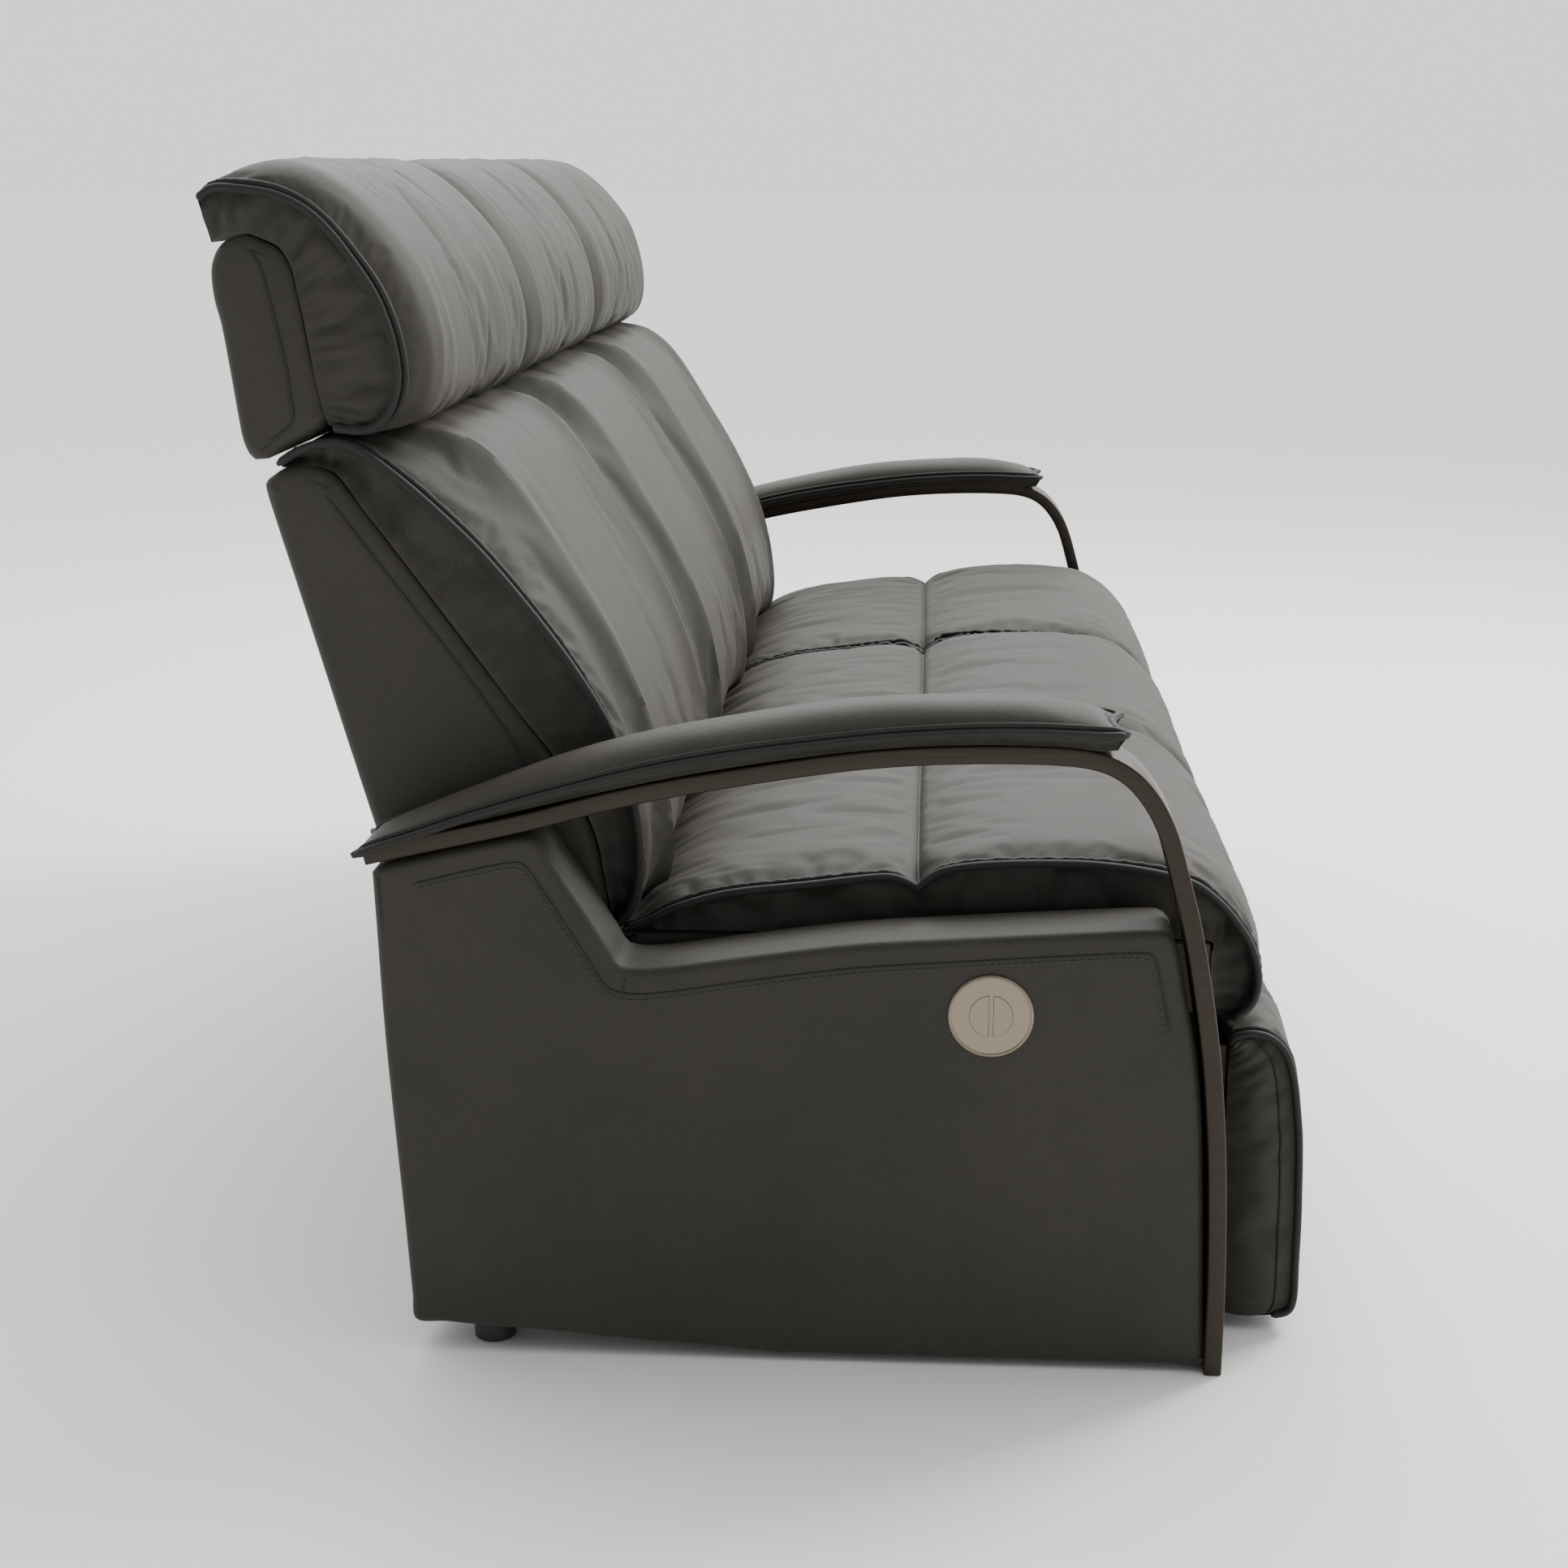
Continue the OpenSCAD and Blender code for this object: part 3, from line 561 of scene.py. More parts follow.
seatSpec = {
    "along": 150, "across": 96, "gusset": 12, "tuck": 0.006, "sag": 0.006, "ruck": 0.006,
    "crown": [(570, 407), (552, 417), (524, 436), (473, 453), (394, 466), (293, 477), (212, 487), (109, 490),
              (40, 483), (5, 461), (-29, 421), (-43, 382), (-40, 347), (-20, 322)],
    "welt": [(572, 403), (550, 411), (520, 426), (469, 441), (391, 451), (292, 465), (215, 474), (120, 475),
             (42, 463), (6, 442), (-24, 405), (-36, 370), (-33, 342), (-15, 322)],
    "under": [(572, 401), (548, 401), (520, 401), (469, 401), (391, 401), (292, 401), (215, 401), (120, 401),
              (42, 401), (9, 399), (8, 385), (8, 362), (8, 340), (7, 321)],
    "rise": lambda edge: (1 - (1 - np.clip(edge / 0.075, 0, 1)) ** 2.4) ** 0.85,
    "holdTop": seatHeld, "cloth": {"grow": 0.016},
    "seeds": {"right": 11, "middle": 21, "left": 31}, "seamAt": 292, "seamWidth": 4.5, "seamDepth": 0.0100,
    "valley": 0.007, "crease": 0.0016,
}


def seatRelief(seed):
    def relief(x, edge, step, back):
        shape = (len(step), x.shape[1])
        seam = -seatSpec["seamDepth"] * bump(back, seatSpec["seamAt"], seatSpec["seamWidth"])
        seam = seam - seatSpec["valley"] * bump(back, seatSpec["seamAt"], 34)
        notch = -0.010 * bump(back, seatSpec["seamAt"], 16) * bump(edge, 0, 0.035)
        rear = ease(back, 300, 380) * (1 - ease(back, 520, 560))
        lines = ripple(shape, x * 38 + back * 0.002, back * 0.007, seed)
        fineLines = ripple(shape, x * 95, back * 0.010, seed + 1)
        creases = seatSpec["crease"] * rear * (1.6 * lines + 0.8 * fineLines)
        front = ease(-back, -270, -200) * 0.0007 * ripple(shape, x * 30, back * 0.006, seed + 2)
        soft = 0.0022 * ripple(shape, x * 7, back * 0.007, seed + 3)
        pucker = 0.0014 * bump(edge, 0.022, 0.016) * ripple(shape, back * 0.055, x * 8, seed + 4)
        hold = 1 - np.exp(-edge / 0.010)
        return seam * (0.35 + 0.65 * hold) + notch + (creases + front + soft) * hold + pucker * hold
    return relief


for seat in seats:
    low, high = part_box(f"seat_cushion_{seat}")
    relief = seatRelief(seatSpec["seeds"][seat])
    cushion, grid = shell(f"seatCushion_{seat}", low.x, high.x, seatSpec, relief)
    middle = grid.shape[1] // 2
    row = np.argmin(np.abs(grid[:, middle, 1] - feetY - seatSpec["seamAt"] / 1000))
    sewOn(cushion, f"seatCrossSeam_{seat}", grid[row, 1:-1], 0.0021)
    pipeEdges(cushion, grid, 0.0042, 0.0034)
    upholster(f"seat_cushion_{seat}")
print("seat cushions made")


# Back cushions: side wings fold up to a soft ridge, the middle panel lies a little lower

backSpec = {
    "along": 150, "across": 96, "gusset": 12, "tuck": 0.007, "sag": 0.010, "ruck": 0.004,
    "crown": [(892, 851), (874, 864), (842, 873), (805, 877), (766, 872), (730, 860), (690, 823), (641, 747),
              (597, 670), (564, 593), (547, 525), (541, 470), (545, 434), (560, 413), (579, 404)],
    "welt": [(889, 849), (868, 862), (844, 869), (818, 866), (785, 844), (745, 810), (700, 766), (652, 708),
             (614, 655), (584, 603), (564, 545), (556, 490), (558, 447), (567, 420), (582, 405)],
    "under": [(886, 845), (868, 848), (848, 845), (833, 837), (812, 807), (785, 771), (752, 726), (706, 663),
              (672, 616), (639, 573), (614, 530), (598, 490), (591, 450), (587, 425), (586, 406)],
    "holdTop": seamsHeld, "cloth": {"grow": 0.013}, "ridgeAt": 0.088, "ridge": 0.0085,
    "seeds": {"right": 51, "middle": 61, "left": 71},
}
backSpec["rise"] = lambda edge: (0.30 * (1 - np.exp(-edge / 0.008))
                                 + 0.70 * ease(edge, 0.012, backSpec["ridgeAt"]))


def backRelief(seed):
    def relief(x, edge, step, back):
        shape = (len(step), x.shape[1])
        body = ease(step, 0.20, 0.42) * (1 - 0.5 * ease(step, 0.86, 1.0))
        wander = backSpec["ridgeAt"] + 0.006 * ripple(shape, step * 3, x * 0 + np.sign(x), seed)
        fold = backSpec["ridge"] * np.exp(-np.abs((edge - wander) / 0.012) ** 1.3)
        dip = -0.005 * bump(edge, 0.055, 0.020) - 0.003 * ease(edge, 0.10, 0.15)
        soft = 0.0024 * ripple(shape, x * 6, step * 5, seed + 1)
        pulls = 0.0009 * ripple(shape, x * 34, step * 2.2, seed + 2) * (0.5 + ease(step, 0.1, 0.3))
        gather = 0.0013 * (1 - ease(step, 0.24, 0.44)) * ripple(shape, x * 60, step * 4, seed + 3)
        pucker = 0.0016 * bump(edge, 0.020, 0.014) * ripple(shape, step * 26, x * 6, seed + 4)
        hold = 1 - np.exp(-edge / 0.010)
        return ((fold + dip) * body + soft + pulls + gather + pucker) * hold
    return relief


for seat in seats:
    low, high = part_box(f"back_cushion_{seat}")
    relief = backRelief(backSpec["seeds"][seat])
    cushion, grid = shell(f"backCushion_{seat}", low.x, high.x, backSpec, relief, body=backBody[seat])
    pipeEdges(cushion, grid, 0.0042, 0.0034)
    upholster(f"back_cushion_{seat}")
print("back cushions made")


# Headrest pillows: a saddle over each headrest block, gathered into long shallow pulls

pillowSpec = {
    "along": 150, "across": 110, "gusset": 14, "tuck": 0.006, "sag": -0.003, "ruck": 0.005,
    "crown": [(952, 1090), (938, 1107), (915, 1118), (885, 1124), (854, 1119), (822, 1100), (791, 1070),
              (765, 1035), (750, 1000), (741, 961), (741, 925), (750, 898), (770, 882), (800, 876),
              (835, 880)],
    "welt": [(950, 1089), (935, 1098), (914, 1098), (880, 1093), (852, 1080), (830, 1060), (810, 1034),
             (793, 1008), (782, 982), (775, 955), (773, 928), (779, 904), (791, 888), (808, 881), (835, 883)],
    "under": [(941, 1050), (930, 1057), (915, 1060), (893, 1053), (878, 1045), (868, 1026), (864, 1005),
              (860, 985), (857, 965), (854, 945), (851, 925), (847, 906), (844, 895), (842, 889), (840, 885)],
    "rise": lambda edge: (1 - (1 - np.clip(edge / 0.062, 0, 1)) ** 2.2) ** 0.75,
    "holdTop": seamsHeld, "cloth": {"grow": 0.012, "bending": 4.0}, "pull": 0.0016,
    "seeds": {"right": 91, "middle": 101, "left": 111},
}


def pillowRelief(seed):
    def relief(x, edge, step, back):
        shape = (len(step), x.shape[1])
        long = ripple(shape, x * 26, step * 2.0, seed)
        fine = ripple(shape, x * 75, step * 3.2, seed + 1)
        growing = 0.35 + 0.9 * ease(step, 0.15, 0.9)
        pulls = pillowSpec["pull"] * growing * (1.5 * long + fine)
        soft = 0.0028 * ripple(shape, x * 7, step * 4, seed + 2)
        gather = 0.0022 * ease(step, 0.72, 0.95) * ripple(shape, x * 90, step * 2, seed + 3)
        hold = 1 - np.exp(-edge / 0.012)
        return (pulls + soft + gather) * hold
    return relief


for seat in seats:
    low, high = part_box(f"headrest_pillow_{seat}")
    relief = pillowRelief(pillowSpec["seeds"][seat])
    pillow, grid = shell(f"headrestPillow_{seat}", low.x, high.x, pillowSpec, relief, body=f"{seat}_headrest")
    pipeEdges(pillow, grid, 0.0042, 0.0034)
    upholster(f"headrest_pillow_{seat}")
print("headrest pillows made")


# Footrests, and the middle seat's front panel, which looks the same

footSpec = {
    "along": 110, "across": 80, "gusset": 12, "tuck": 0.004, "sag": -0.009, "ruck": 0.003,
    "crown": [(-13, 304), (-20, 311), (-33, 315), (-47, 313), (-61, 306), (-73, 290), (-80, 264), (-84, 236),
              (-88, 199), (-90, 150), (-91, 113), (-91, 70), (-90, 34), (-84, 17), (-66, 13)],
    "welt": [(-13, 301), (-20, 306), (-33, 309), (-46, 307), (-58, 300), (-69, 285), (-76, 261), (-80, 235),
             (-84, 199), (-86, 150), (-87, 113), (-87, 70), (-87, 34), (-82, 19), (-66, 14)],
    "under": [(-13, 298), (-13, 293), (-13, 288), (-13, 280), (-13, 270), (-13, 255), (-13, 235), (-13, 212),
              (-13, 185), (-13, 150), (-13, 113), (-13, 75), (-13, 45), (-13, 25), (-13, 15)],
    "rise": lambda edge: (1 - (1 - np.clip(edge / 0.05, 0, 1)) ** 2.2) ** 0.8,
    "holdTop": seamsHeld, "cloth": {"cap": 0.006, "grow": 0.010}, "gussetSeam": 0.25,
}


def footRelief(seed):
    def relief(x, edge, step, back):
        shape = (len(step), x.shape[1])
        soft = 0.0022 * ripple(shape, x * 7, step * 4, seed)
        pulls = 0.0008 * ripple(shape, x * 45, step * 2, seed + 1)
        return (soft + pulls) * (1 - np.exp(-edge / 0.010))
    return relief


footPanels = [("footrest_pad_right", "right_footrest", 131), ("middle_front_panel", "sofa", 141),
              ("footrest_pad_left", "left_footrest", 151)]
for node, body, seed in footPanels:
    low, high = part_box(node)
    pad, grid = shell(node + "Cover", low.x, high.x, footSpec, footRelief(seed), body=body)
    pipeEdges(pad, grid, 0.0040, 0.0032)
    upholster(node)
print("footrests made")


# Blocks and side panels: upholstered boxes with rounded edges; face lines run between two outlines

cornerTurns = 6                         # steps round each rounded edge


def puffed(height, share, run):         # how far a side face stands out, at a share across it and along it
    return height * np.sin(math.pi * share) * np.sin(math.pi * run) ** 0.5


def slab(name, xLow, xHigh, spec, body="sofa"):
    along, rows, radius = spec["along"], spec["rows"], spec["radius"]
    first, second = place(spec["first"]), place(spec["second"])
    steps = evenSteps(first, along)
    a, b = curveAt(first, steps), curveAt(second, steps)
    angles = np.linspace(0, math.pi / 2, cornerTurns + 1)
    inset = np.r_[radius * (1 - np.sin(angles)), radius * (1 - np.sin(angles))[::-1]]
    xs = np.r_[xLow + radius * (1 - np.cos(angles)), xHigh - radius * (1 - np.cos(angles))[::-1]]
    inset[0] = inset[-1] = radius
    gridA, gridB = [
        np.stack([np.column_stack([np.full(along, x), line + inner * i]) for x, i in zip(xs, inset)], 1)
        for line, inner in ((a, -outward(a, b)), (b, -outward(b, a)))]
    grids = [gridA, gridB]
    share = np.linspace(0, 1, rows + 1)
    run = np.linspace(0, 1, along)
    for side, j in ((-1, 0), (1, -1)):
        face = gridA[:, j][:, None] * (1 - share)[None, :, None] + gridB[:, j][:, None] * share[None, :, None]
        height = spec["puff"] if isFree(xLow if side < 0 else xHigh) else besideSeat["puff"]
        face[:, :, 0] += side * puffed(height, share[None, :], run[:, None])
        grids.append(face)
    for row in (0, -1):
        grids.append(np.stack([gridA[row], gridB[row]]))
    return weave(name, grids, leather, sharp=35, ride=body), gridA, gridB


def faceLine(side, gridA, gridB, inset, stretch, puff, lift=freeFace["seamLift"]):
    # a line on a slab's side face, a set distance in from its first outline, over a stretch of its length
    rows = len(gridA)
    a = gridA[:, 0 if side < 0 else -1]
    across = gridB[:, 0 if side < 0 else -1] - a
    share = np.minimum(inset / np.linalg.norm(across, axis=1)[:, None], 0.95)
    line = a + across * share
    line[:, 0] += side * (puffed(puff, share[:, 0], np.linspace(0, 1, rows)) + lift)
    return line[int(stretch[0] * (rows - 1)):int(stretch[1] * (rows - 1)) + 1]


panelSpec = {
    "along": 170, "radius": 0.009, "puff": 0.0022, "rows": 20,
    "first": [(8, 7), (12, 60), (17, 170), (22, 260), (31, 330), (43, 386), (52, 427), (61, 439), (80, 441),
              (164, 436), (250, 430), (342, 423), (430, 411), (520, 397), (552, 395), (566, 399), (576, 416),
              (598, 452), (622, 489), (639, 514), (655, 520), (700, 511), (750, 499), (786, 490), (795, 483)],
    "second": [(9, 6), (60, 6), (120, 6), (180, 6), (240, 6), (300, 6), (350, 6), (400, 6), (421, 6),
               (460, 9), (500, 12), (540, 14), (580, 17), (620, 20), (660, 23), (700, 25), (740, 28),
               (771, 30), (774, 60), (778, 130), (783, 210), (788, 290), (791, 354), (793, 420),
               (795, 480)],
    "seamInset": 0.016, "sewn": (0.285, 0.965), "seamRadius": 0.0010,
    "stitchesBeside": 0.006, "threadLift": 0.0007,
    "dipAt": (562, 396), "tuckReach": 0.055, "tuckRadius": 0.0012,      # a short tuck at the foot of the dip
}
for side in ends:
    low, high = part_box(f"side_panel_{side}")
    panel, faceA, faceB = slab(f"sidePanel_{side}", low.x, high.x, panelSpec)
    cover(f"side_panel_{side}")
    outer, j = (-1, 0) if side == "right" else (1, -1)
    inset = panelSpec["seamInset"]
    line = faceLine(outer, faceA, faceB, inset, panelSpec["sewn"], panelSpec["puff"])
    sewOn(panel, f"sidePanelSeam_{side}", line, panelSpec["seamRadius"], sides=6)
    line = faceLine(outer, faceA, faceB, inset + panelSpec["stitchesBeside"], panelSpec["sewn"],
                    panelSpec["puff"], panelSpec["threadLift"])
    thread = stitches(f"sidePanelStitches_{side}", line, plains["thread"])
    thread.parent = panel
    dip = place([panelSpec["dipAt"]])
    corner = np.argmin(np.abs(faceA[:, 0, 1:] - dip).sum(axis=1))
    reach = np.linspace(0, panelSpec["tuckReach"], 8)[:, None]
    tuckLine = faceA[corner, j] + (faceB[corner, j] - faceA[corner, j]) * reach
    sewOn(panel, f"sidePanelTuck_{side}", tuckLine, panelSpec["tuckRadius"], sides=6)
print("side panels made")

blockSpec = {
    "seamInset": 0.019, "sewn": (0.06, 0.97), "along": 90, "radius": 0.013, "puff": 0.004, "rows": 14,
    "first": [(838, 839), (850, 846), (862, 849), (876, 848), (888, 843), (898, 836), (904, 828), (896, 795),
              (880, 738), (860, 665), (838, 585), (818, 513), (802, 455), (792, 420), (787, 406)],
    "second": [(837, 838), (831, 832), (822, 820), (805, 797), (785, 770), (755, 729), (722, 684), (690, 641),
               (662, 603), (640, 572), (620, 536), (604, 500), (595, 465), (589, 430), (586, 406)],
}
headSpec = {
    "seamInset": 0.017, "sewn": (0.06, 0.97), "along": 70, "radius": 0.012, "puff": 0.003, "rows": 12,
    "first": [(893, 1052), (903, 1056), (915, 1057), (927, 1053), (937, 1044), (943, 1030), (944, 1015),
              (942, 996), (937, 974), (931, 930), (926, 890), (923, 871), (918, 858), (912, 852)],
    "second": [(891, 1051), (884, 1048), (877, 1042), (870, 1030), (866, 1017), (862, 995), (858, 970),
               (854, 945), (850, 925), (846, 905), (843, 890), (855, 876), (878, 863), (900, 853)],
}


def sideSeams(piece, near, far, spec):  # a sewn seam down each side face
    for side, j, tag in ((-1, 0, "A"), (1, -1, "B")):
        free = isFree(near[:, j, 0].mean())
        sewn = freeFace if free else besideSeat
        height = spec["puff"] if free else besideSeat["puff"]
        line = faceLine(side, near, far, spec["seamInset"], spec["sewn"], height, sewn["seamLift"])
        sewOn(piece, f"{piece.name}Seam{tag}", line, sewn["seamRadius"])


for seat in seats:
    low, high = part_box(f"back_block_{seat}")
    block, faceA, faceB = slab(f"backBlock_{seat}", low.x, high.x, blockSpec, body=backBody[seat])
    sideSeams(block, faceB, faceA, blockSpec)
    cover(f"back_block_{seat}")
    low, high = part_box(f"headrest_block_{seat}")
    head, faceA, faceB = slab(f"headrestBlock_{seat}", low.x, high.x, headSpec, body=f"{seat}_headrest")
    sideSeams(head, faceB, faceA, headSpec)
    cover(f"headrest_block_{seat}")
print("back blocks and headrest blocks made")


# Arms: a bent flat strap that stands on the floor, and a padded rest on top of it

strapSpec = {
    "line": [(800, 500.5), (760, 510), (725, 518), (650, 535.5), (571, 557), (497, 573), (387, 592),
             (314, 601), (241, 605), (169, 605), (128, 600), (101, 587), (80, 564), (64, 533), (50, 487),
             (37, 437), (25, 375), (15, 309), (8, 235), (4, 160), (2, 85), (2, 0)],
    "thick": 0.017, "corner": 0.0022, "along": 190, "footLift": 0.0002,
}
padSpec = {
    "along": 130, "across": 40, "gusset": 8, "tuck": 0.003, "sag": 0.0015, "ruck": 0.001, "pinch": 0.010,
    "crown": [(809, 504), (795, 516), (756, 534), (693, 561), (616, 590), (540, 611), (465, 627), (390, 640),
              (315, 648), (241, 651), (189, 650), (152, 645), (126, 638), (105, 627)],
    "welt": [(810, 501), (788, 510), (752, 522), (692, 543), (616, 566), (540, 586), (465, 601), (390, 612),
             (315, 621), (241, 626), (189, 627), (150, 626), (125, 625), (103, 625)],
    "under": [(806, 505), (780, 514), (748, 522), (690, 537), (616, 556), (540, 574), (465, 589), (390, 601),
              (315, 610), (241, 614), (189, 614), (150, 612), (128, 610), (112, 611)],
    "rise": lambda edge: np.sqrt(np.clip(1 - (1 - np.clip(edge / 0.040, 0, 1)) ** 2.3, 0, 1)),
    "tipRadius": 0.0034, "seeds": {"right": 171, "left": 181},
}


def padRelief(seed):
    def relief(x, edge, step, back):
        shape = (len(step), x.shape[1])
        soft = 0.0012 * ripple(shape, x * 16, step * 9, seed)
        tipFolds = 0.0016 * ease(step, 0.86, 0.97) * ripple(shape, x * 70, step * 30, seed + 1)
        pucker = 0.0006 * bump(edge, 0.010, 0.008) * ripple(shape, step * 60, x * 8, seed + 2)
        return (soft + tipFolds + pucker) * (1 - np.exp(-edge / 0.008))
    return relief


for side in ends:
    low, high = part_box(f"arm_strap_{side}")
    line = place(strapSpec["line"])
    line = curveAt(line, evenSteps(line, strapSpec["along"]))
    normal = outward(line, line.mean(0) - [0, 1])
    half, thick, corner = (high.x - low.x) / 2, strapSpec["thick"] / 2, strapSpec["corner"]
    ring = []
    for cx, cn, start in ((1, 1, 0), (-1, 1, 90), (-1, -1, 180), (1, -1, 270)):
        for turn in np.radians(np.linspace(start, start + 90, 4)):
            ring.append((cx * (half - corner) + corner * math.cos(turn),
                         cn * (thick - corner) + corner * math.sin(turn)))
    ring = np.array(ring + ring[:1])
    centre = (low.x + high.x) / 2
    grid = np.empty((len(line), len(ring), 3))
    grid[:, :, 0] = centre + ring[None, :, 0]
    grid[:, :, 1:] = line[:, None] + normal[:, None] * ring[None, :, 1, None]
    grid[-1, :, 2] = strapSpec["footLift"]
    hub = [np.stack([np.repeat(grid[row].mean(0)[None], len(ring), 0), grid[row]]) for row in (0, -1)]
    strap = weave(f"armStrap_{side}", [grid, *hub], metals["bronze"], sharp=40, ride="sofa")
    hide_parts(f"arm_strap_{side}")
    low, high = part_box(f"arm_pad_{side}")
    pad, topGrid = shell(f"armPad_{side}", low.x, high.x, padSpec, padRelief(padSpec["seeds"][side]))
    pipeEdges(pad, topGrid, 0.0040, 0.0026)
    for row, tag in ((0, "Rear"), (-1, "Front")):
        sewOn(pad, f"armPadTip{tag}_{side}", topGrid[row], padSpec["tipRadius"], sides=10)
    upholster(f"arm_pad_{side}")
print("arms made")


# A lining of leather closes the rear of the boxes, and a flap joins each reclining back to its seat

liningSpec = {"line": [(560, 397), (574, 398.5), (584, 397), (590, 388), (592, 370), (593, 345), (593, 322)],
              "thick": 0.0025, "along": 30, "across": 60, "wave": 0.0015}
flapSpec = {"line": [(556, 398.2), (566, 399.4), (576, 400.6), (586, 402.4), (594, 404.4), (602, 405.4),
                     (612, 405.7), (626, 405.7)],
            "thick": 0.0016, "along": 32, "across": 40, "sideGap": 0.001,
            "bendFrom": (572, 400), "bendTo": (594, 403)}       # the stretch where the seat meets the back


def sheetOf(name, line, xs, faces, ride=None):
    # a thin strip: the line carried across, moved to each of its two faces, with the four edges between
    sides = []
    for moved in faces:
        spots = line[:, None] + moved
        sides.append(np.dstack([np.broadcast_to(xs, spots.shape[:2]), spots[:, :, 0], spots[:, :, 1]]))
    edges = [np.stack([sides[0][row], sides[1][row]]) for row in (0, -1)]
    edges += [np.stack([sides[0][:, col], sides[1][:, col]]) for col in (0, -1)]
    strip = weave(name, [*sides, *edges], leather, ride=ride)
    return strip


low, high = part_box("seat_cushion_right")[0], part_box("seat_cushion_left")[1]
line = place(liningSpec["line"])
line = curveAt(line, evenSteps(line, liningSpec["along"]))
normal = outward(line, line.mean(0) - [0.05, 0.05])
xs = np.linspace(low.x, high.x, liningSpec["across"])
down = np.linspace(0, 2, len(line))[:, None]
wave = liningSpec["wave"] * ripple((len(line), len(xs)), down, xs[None, :] * 14, 201)
faces = [normal[:, None] * (offset + wave)[:, :, None] for offset in (0, -liningSpec["thick"])]
sheetOf("seatRearLining", line, xs, faces, ride="sofa")
for seat in ends:
    low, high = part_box(f"seat_cushion_{seat}")
    line = place(flapSpec["line"])
    line = curveAt(line, evenSteps(line, flapSpec["along"]))
    xs = np.linspace(low.x + flapSpec["sideGap"], high.x - flapSpec["sideGap"], flapSpec["across"])
    faces = [np.tile([0.0, -drop], (len(line), len(xs), 1)) for drop in (0, flapSpec["thick"])]
    flap = sheetOf(f"seatBackFlap_{seat}", line, xs, faces)
    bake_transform(flap)
print("lining and flaps made")


# A fine raised rim round each control plate

rimSpec = {"inset": 0.0016, "radius": 0.0012, "points": 73}
for side in ends:
    low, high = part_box(f"control_plate_{side}")
    face = low.x if side == "right" else high.x
    centre = (low + high) / 2
    turn = np.linspace(0, 2 * math.pi, rimSpec["points"])
    radius = (high.y - low.y) / 2 - rimSpec["inset"]
    ring = np.column_stack([np.full(len(turn), face), centre.y + radius * np.cos(turn),
                            centre.z + radius * np.sin(turn)])
    rim = tube(f"controlPlateRim_{side}", ring, rimSpec["radius"], metals["champagne"], sides=8, tip=1)
    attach(rim, "sofa")
print("plate rims made")


# Finishes for the pieces that come straight from the frame

carried = {
    "blackSteel": ["front_rail", "rear_rail", "rail_bolts", "mech_plates_", "back_brackets_", "lift_links_",
                   "reach_links_"],
    "brightSteel": ["headrest_posts_", "drive_fork_"],
    "champagne": ["control_plate_", "open_button_", "close_button_"],
    "blackPlastic": ["floor_glides", "centre_legs", "power_supply", "motor_"],
    "stainedPly": ["footrest_board_"],
    "coveredBox": ["seat_box_", "rear_apron"],
    "webbing": ["seat_webbing"],
}
finishes = {**metals, **plains, "coveredBox": leather}
for finish, prefixes in carried.items():
    for name, node in frame["nodes"].items():
        if any(name.startswith(prefix) for prefix in prefixes):
            node.data.materials.clear()
            node.data.materials.append(finishes[finish])
print("frame pieces finished")


# Floor, light and camera

studio = {
    "floor": (0.85, 0.85, 0.84), "shade": 0.30, "glow": 2.6, "glowFrom": (0.93, -0.20, 0.30), "horizon": 1.3,
    "lights": [
        {"name": "frontTop", "at": (1.5, -2.7, 3.4), "to": (0.1, 0.1, 0.7), "size": 1.6, "power": 190},
        {"name": "farTop", "at": (2.6, 0.4, 3.6), "to": (0, 0, 0.6), "size": 2.0, "power": 90},
    ],
    "eye": (-3.066, 0.283, 1.120), "pitch": 14.42, "yaw": 3.48, "lens": 55.4348, "sensor": 36,
    "floorReach": 90, "floorTop": -0.001,
}
floorMesh = bpy.data.meshes.new("floor")
reach = studio["floorReach"]
corners = [(-reach, -reach), (reach, -reach), (reach, reach), (-reach, reach)]
floorMesh.from_pydata([(x, y, studio["floorTop"]) for x, y in corners], [], [(0, 1, 2, 3)])
floor = bpy.data.objects.new("floor", floorMesh)
bpy.context.scene.collection.objects.link(floor)
floorMaterial, floorTree, floorShader = newMaterial("floorPaint")
floorShader.inputs["Base Color"].default_value = (*studio["floor"], 1)
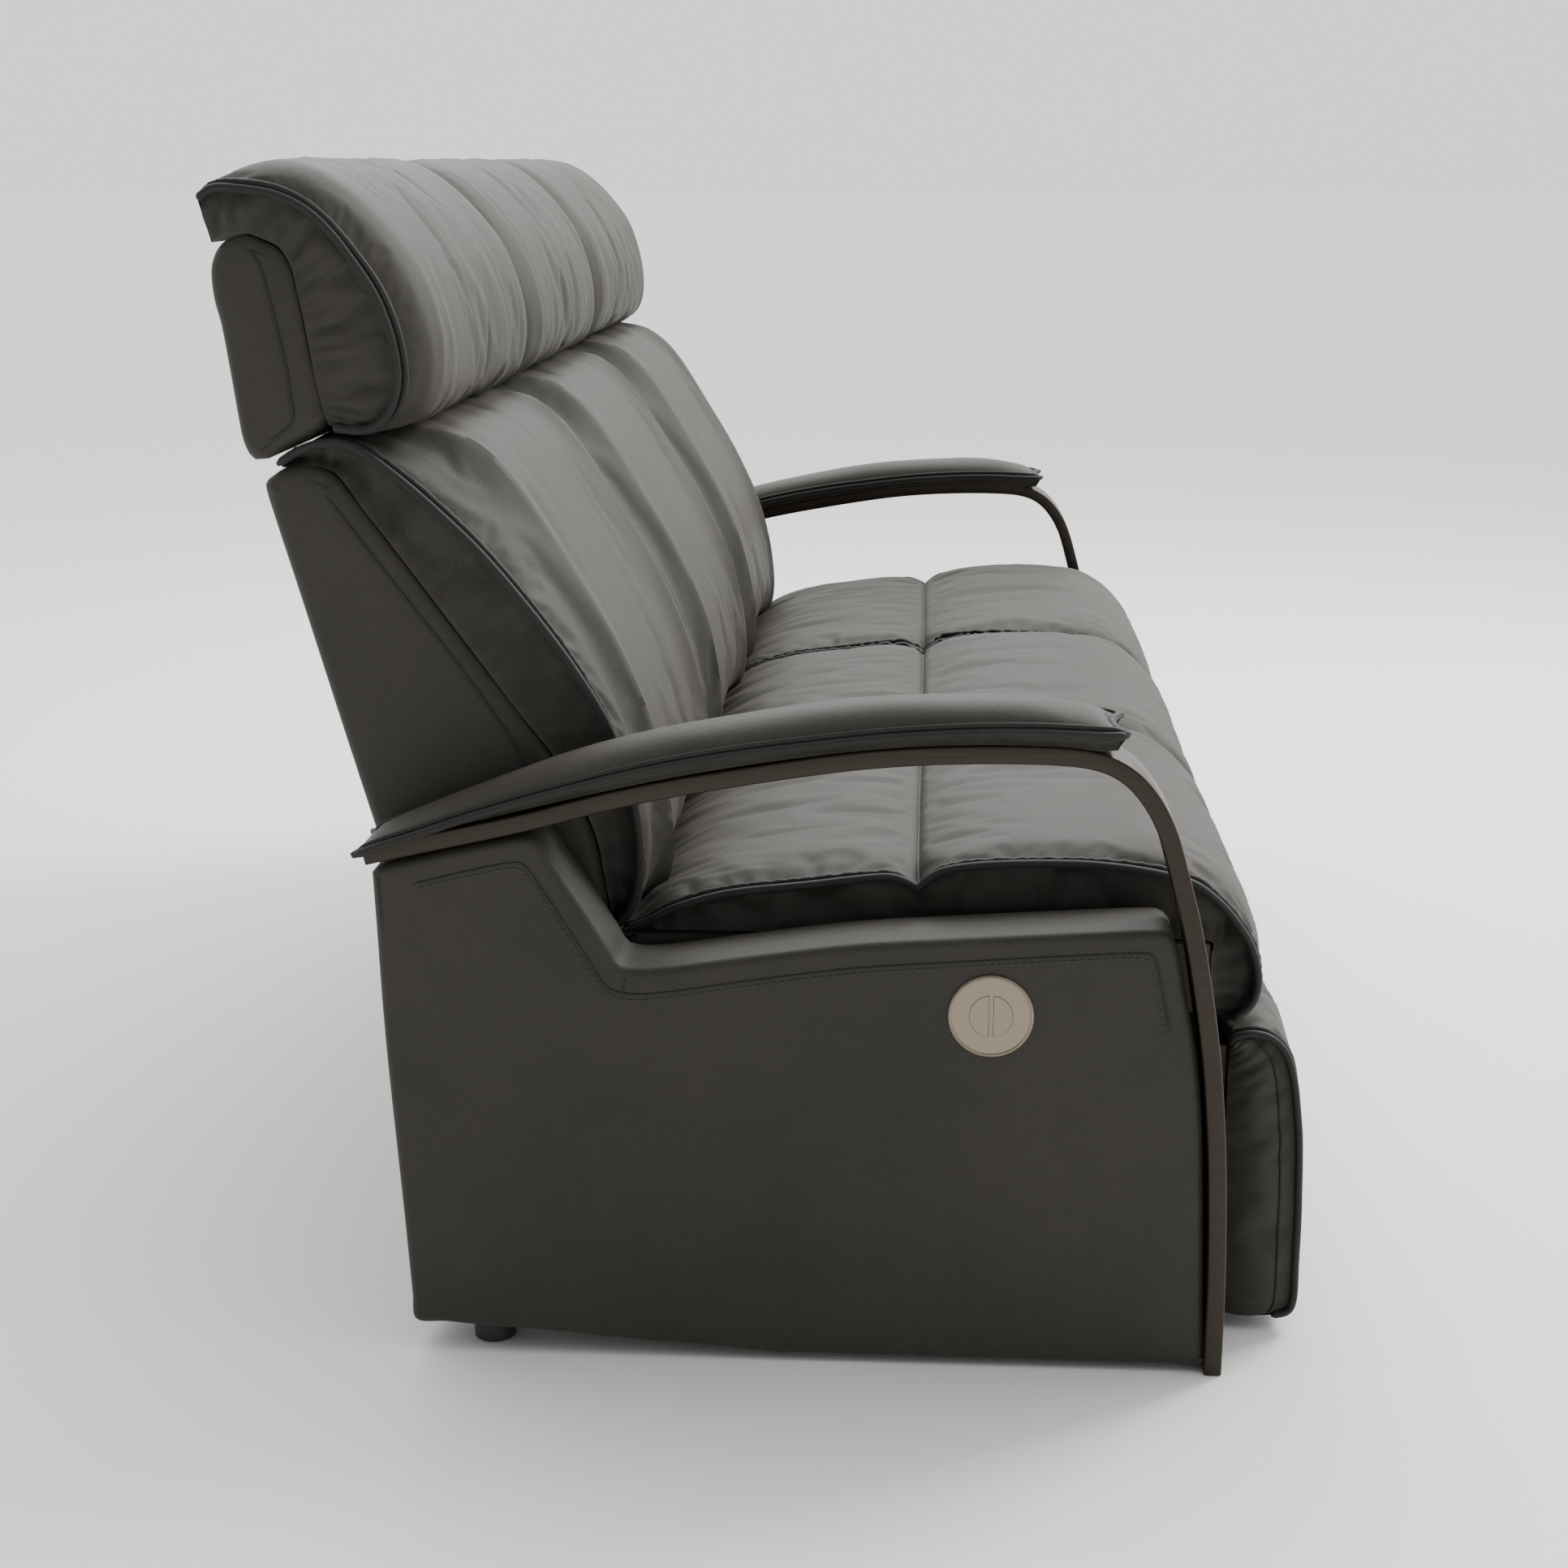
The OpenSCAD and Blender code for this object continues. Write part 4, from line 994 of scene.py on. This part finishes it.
floorShader.inputs["Roughness"].default_value = 0.9
floorMesh.materials.append(floorMaterial)
world = bpy.data.worlds.new("studio")
world.use_nodes = True
sky = world.node_tree                   # bright on the far side, dim on the near side, even at the horizon
compass = addNode(sky, "ShaderNodeTexCoord").outputs["Generated"]
glowFrom = Vector(studio["glowFrom"]).normalized()
towards = addNode(sky, "ShaderNodeVectorMath", compass, glowFrom, operation="DOT_PRODUCT").outputs["Value"]
bright = remap(sky, towards, (-0.55, 0.85), (studio["shade"], studio["glow"]), "SMOOTHSTEP")
height = addNode(sky, "ShaderNodeSeparateXYZ", compass).outputs["Z"]
above = remap(sky, height, (0.08, 0.30), (0, 1), "SMOOTHSTEP")
level = addNode(sky, "ShaderNodeMix", data_type="FLOAT", Factor=above, A=studio["horizon"], B=bright)
feed(sky, sky.nodes["Background"].inputs["Strength"], level.outputs["Result"])
sky.nodes["Background"].inputs["Color"].default_value = (1, 1, 1, 1)
bpy.context.scene.world = world
for light in studio["lights"]:
    data = bpy.data.lights.new(light["name"], "AREA")
    data.size = light["size"]
    data.energy = light["power"]
    lamp = bpy.data.objects.new(light["name"], data)
    lamp.location = light["at"]
    lamp.rotation_euler = (Vector(light["to"]) - Vector(light["at"])).to_track_quat("-Z", "Y").to_euler()
    bpy.context.scene.collection.objects.link(lamp)

yaw, pitch = math.radians(studio["yaw"]), math.radians(studio["pitch"])
ahead = Vector((math.cos(yaw), math.sin(yaw), 0))
right = Vector((math.sin(yaw), -math.cos(yaw), 0))
upward = ahead * math.sin(pitch) + Vector((0, 0, 1)) * math.cos(pitch)
cameraData = bpy.data.cameras.new("camera")
cameraData.lens = studio["lens"]
cameraData.sensor_width = studio["sensor"]
camera = bpy.data.objects.new("camera", cameraData)
turn = Matrix((right, upward, right.cross(upward))).transposed().to_4x4()
eye = Vector(studio["eye"])
camera.matrix_world = Matrix.Translation((eye.x, eye.y + feetY, eye.z)) @ turn
bpy.context.scene.collection.objects.link(camera)
bpy.context.scene.camera = camera
print("studio set")
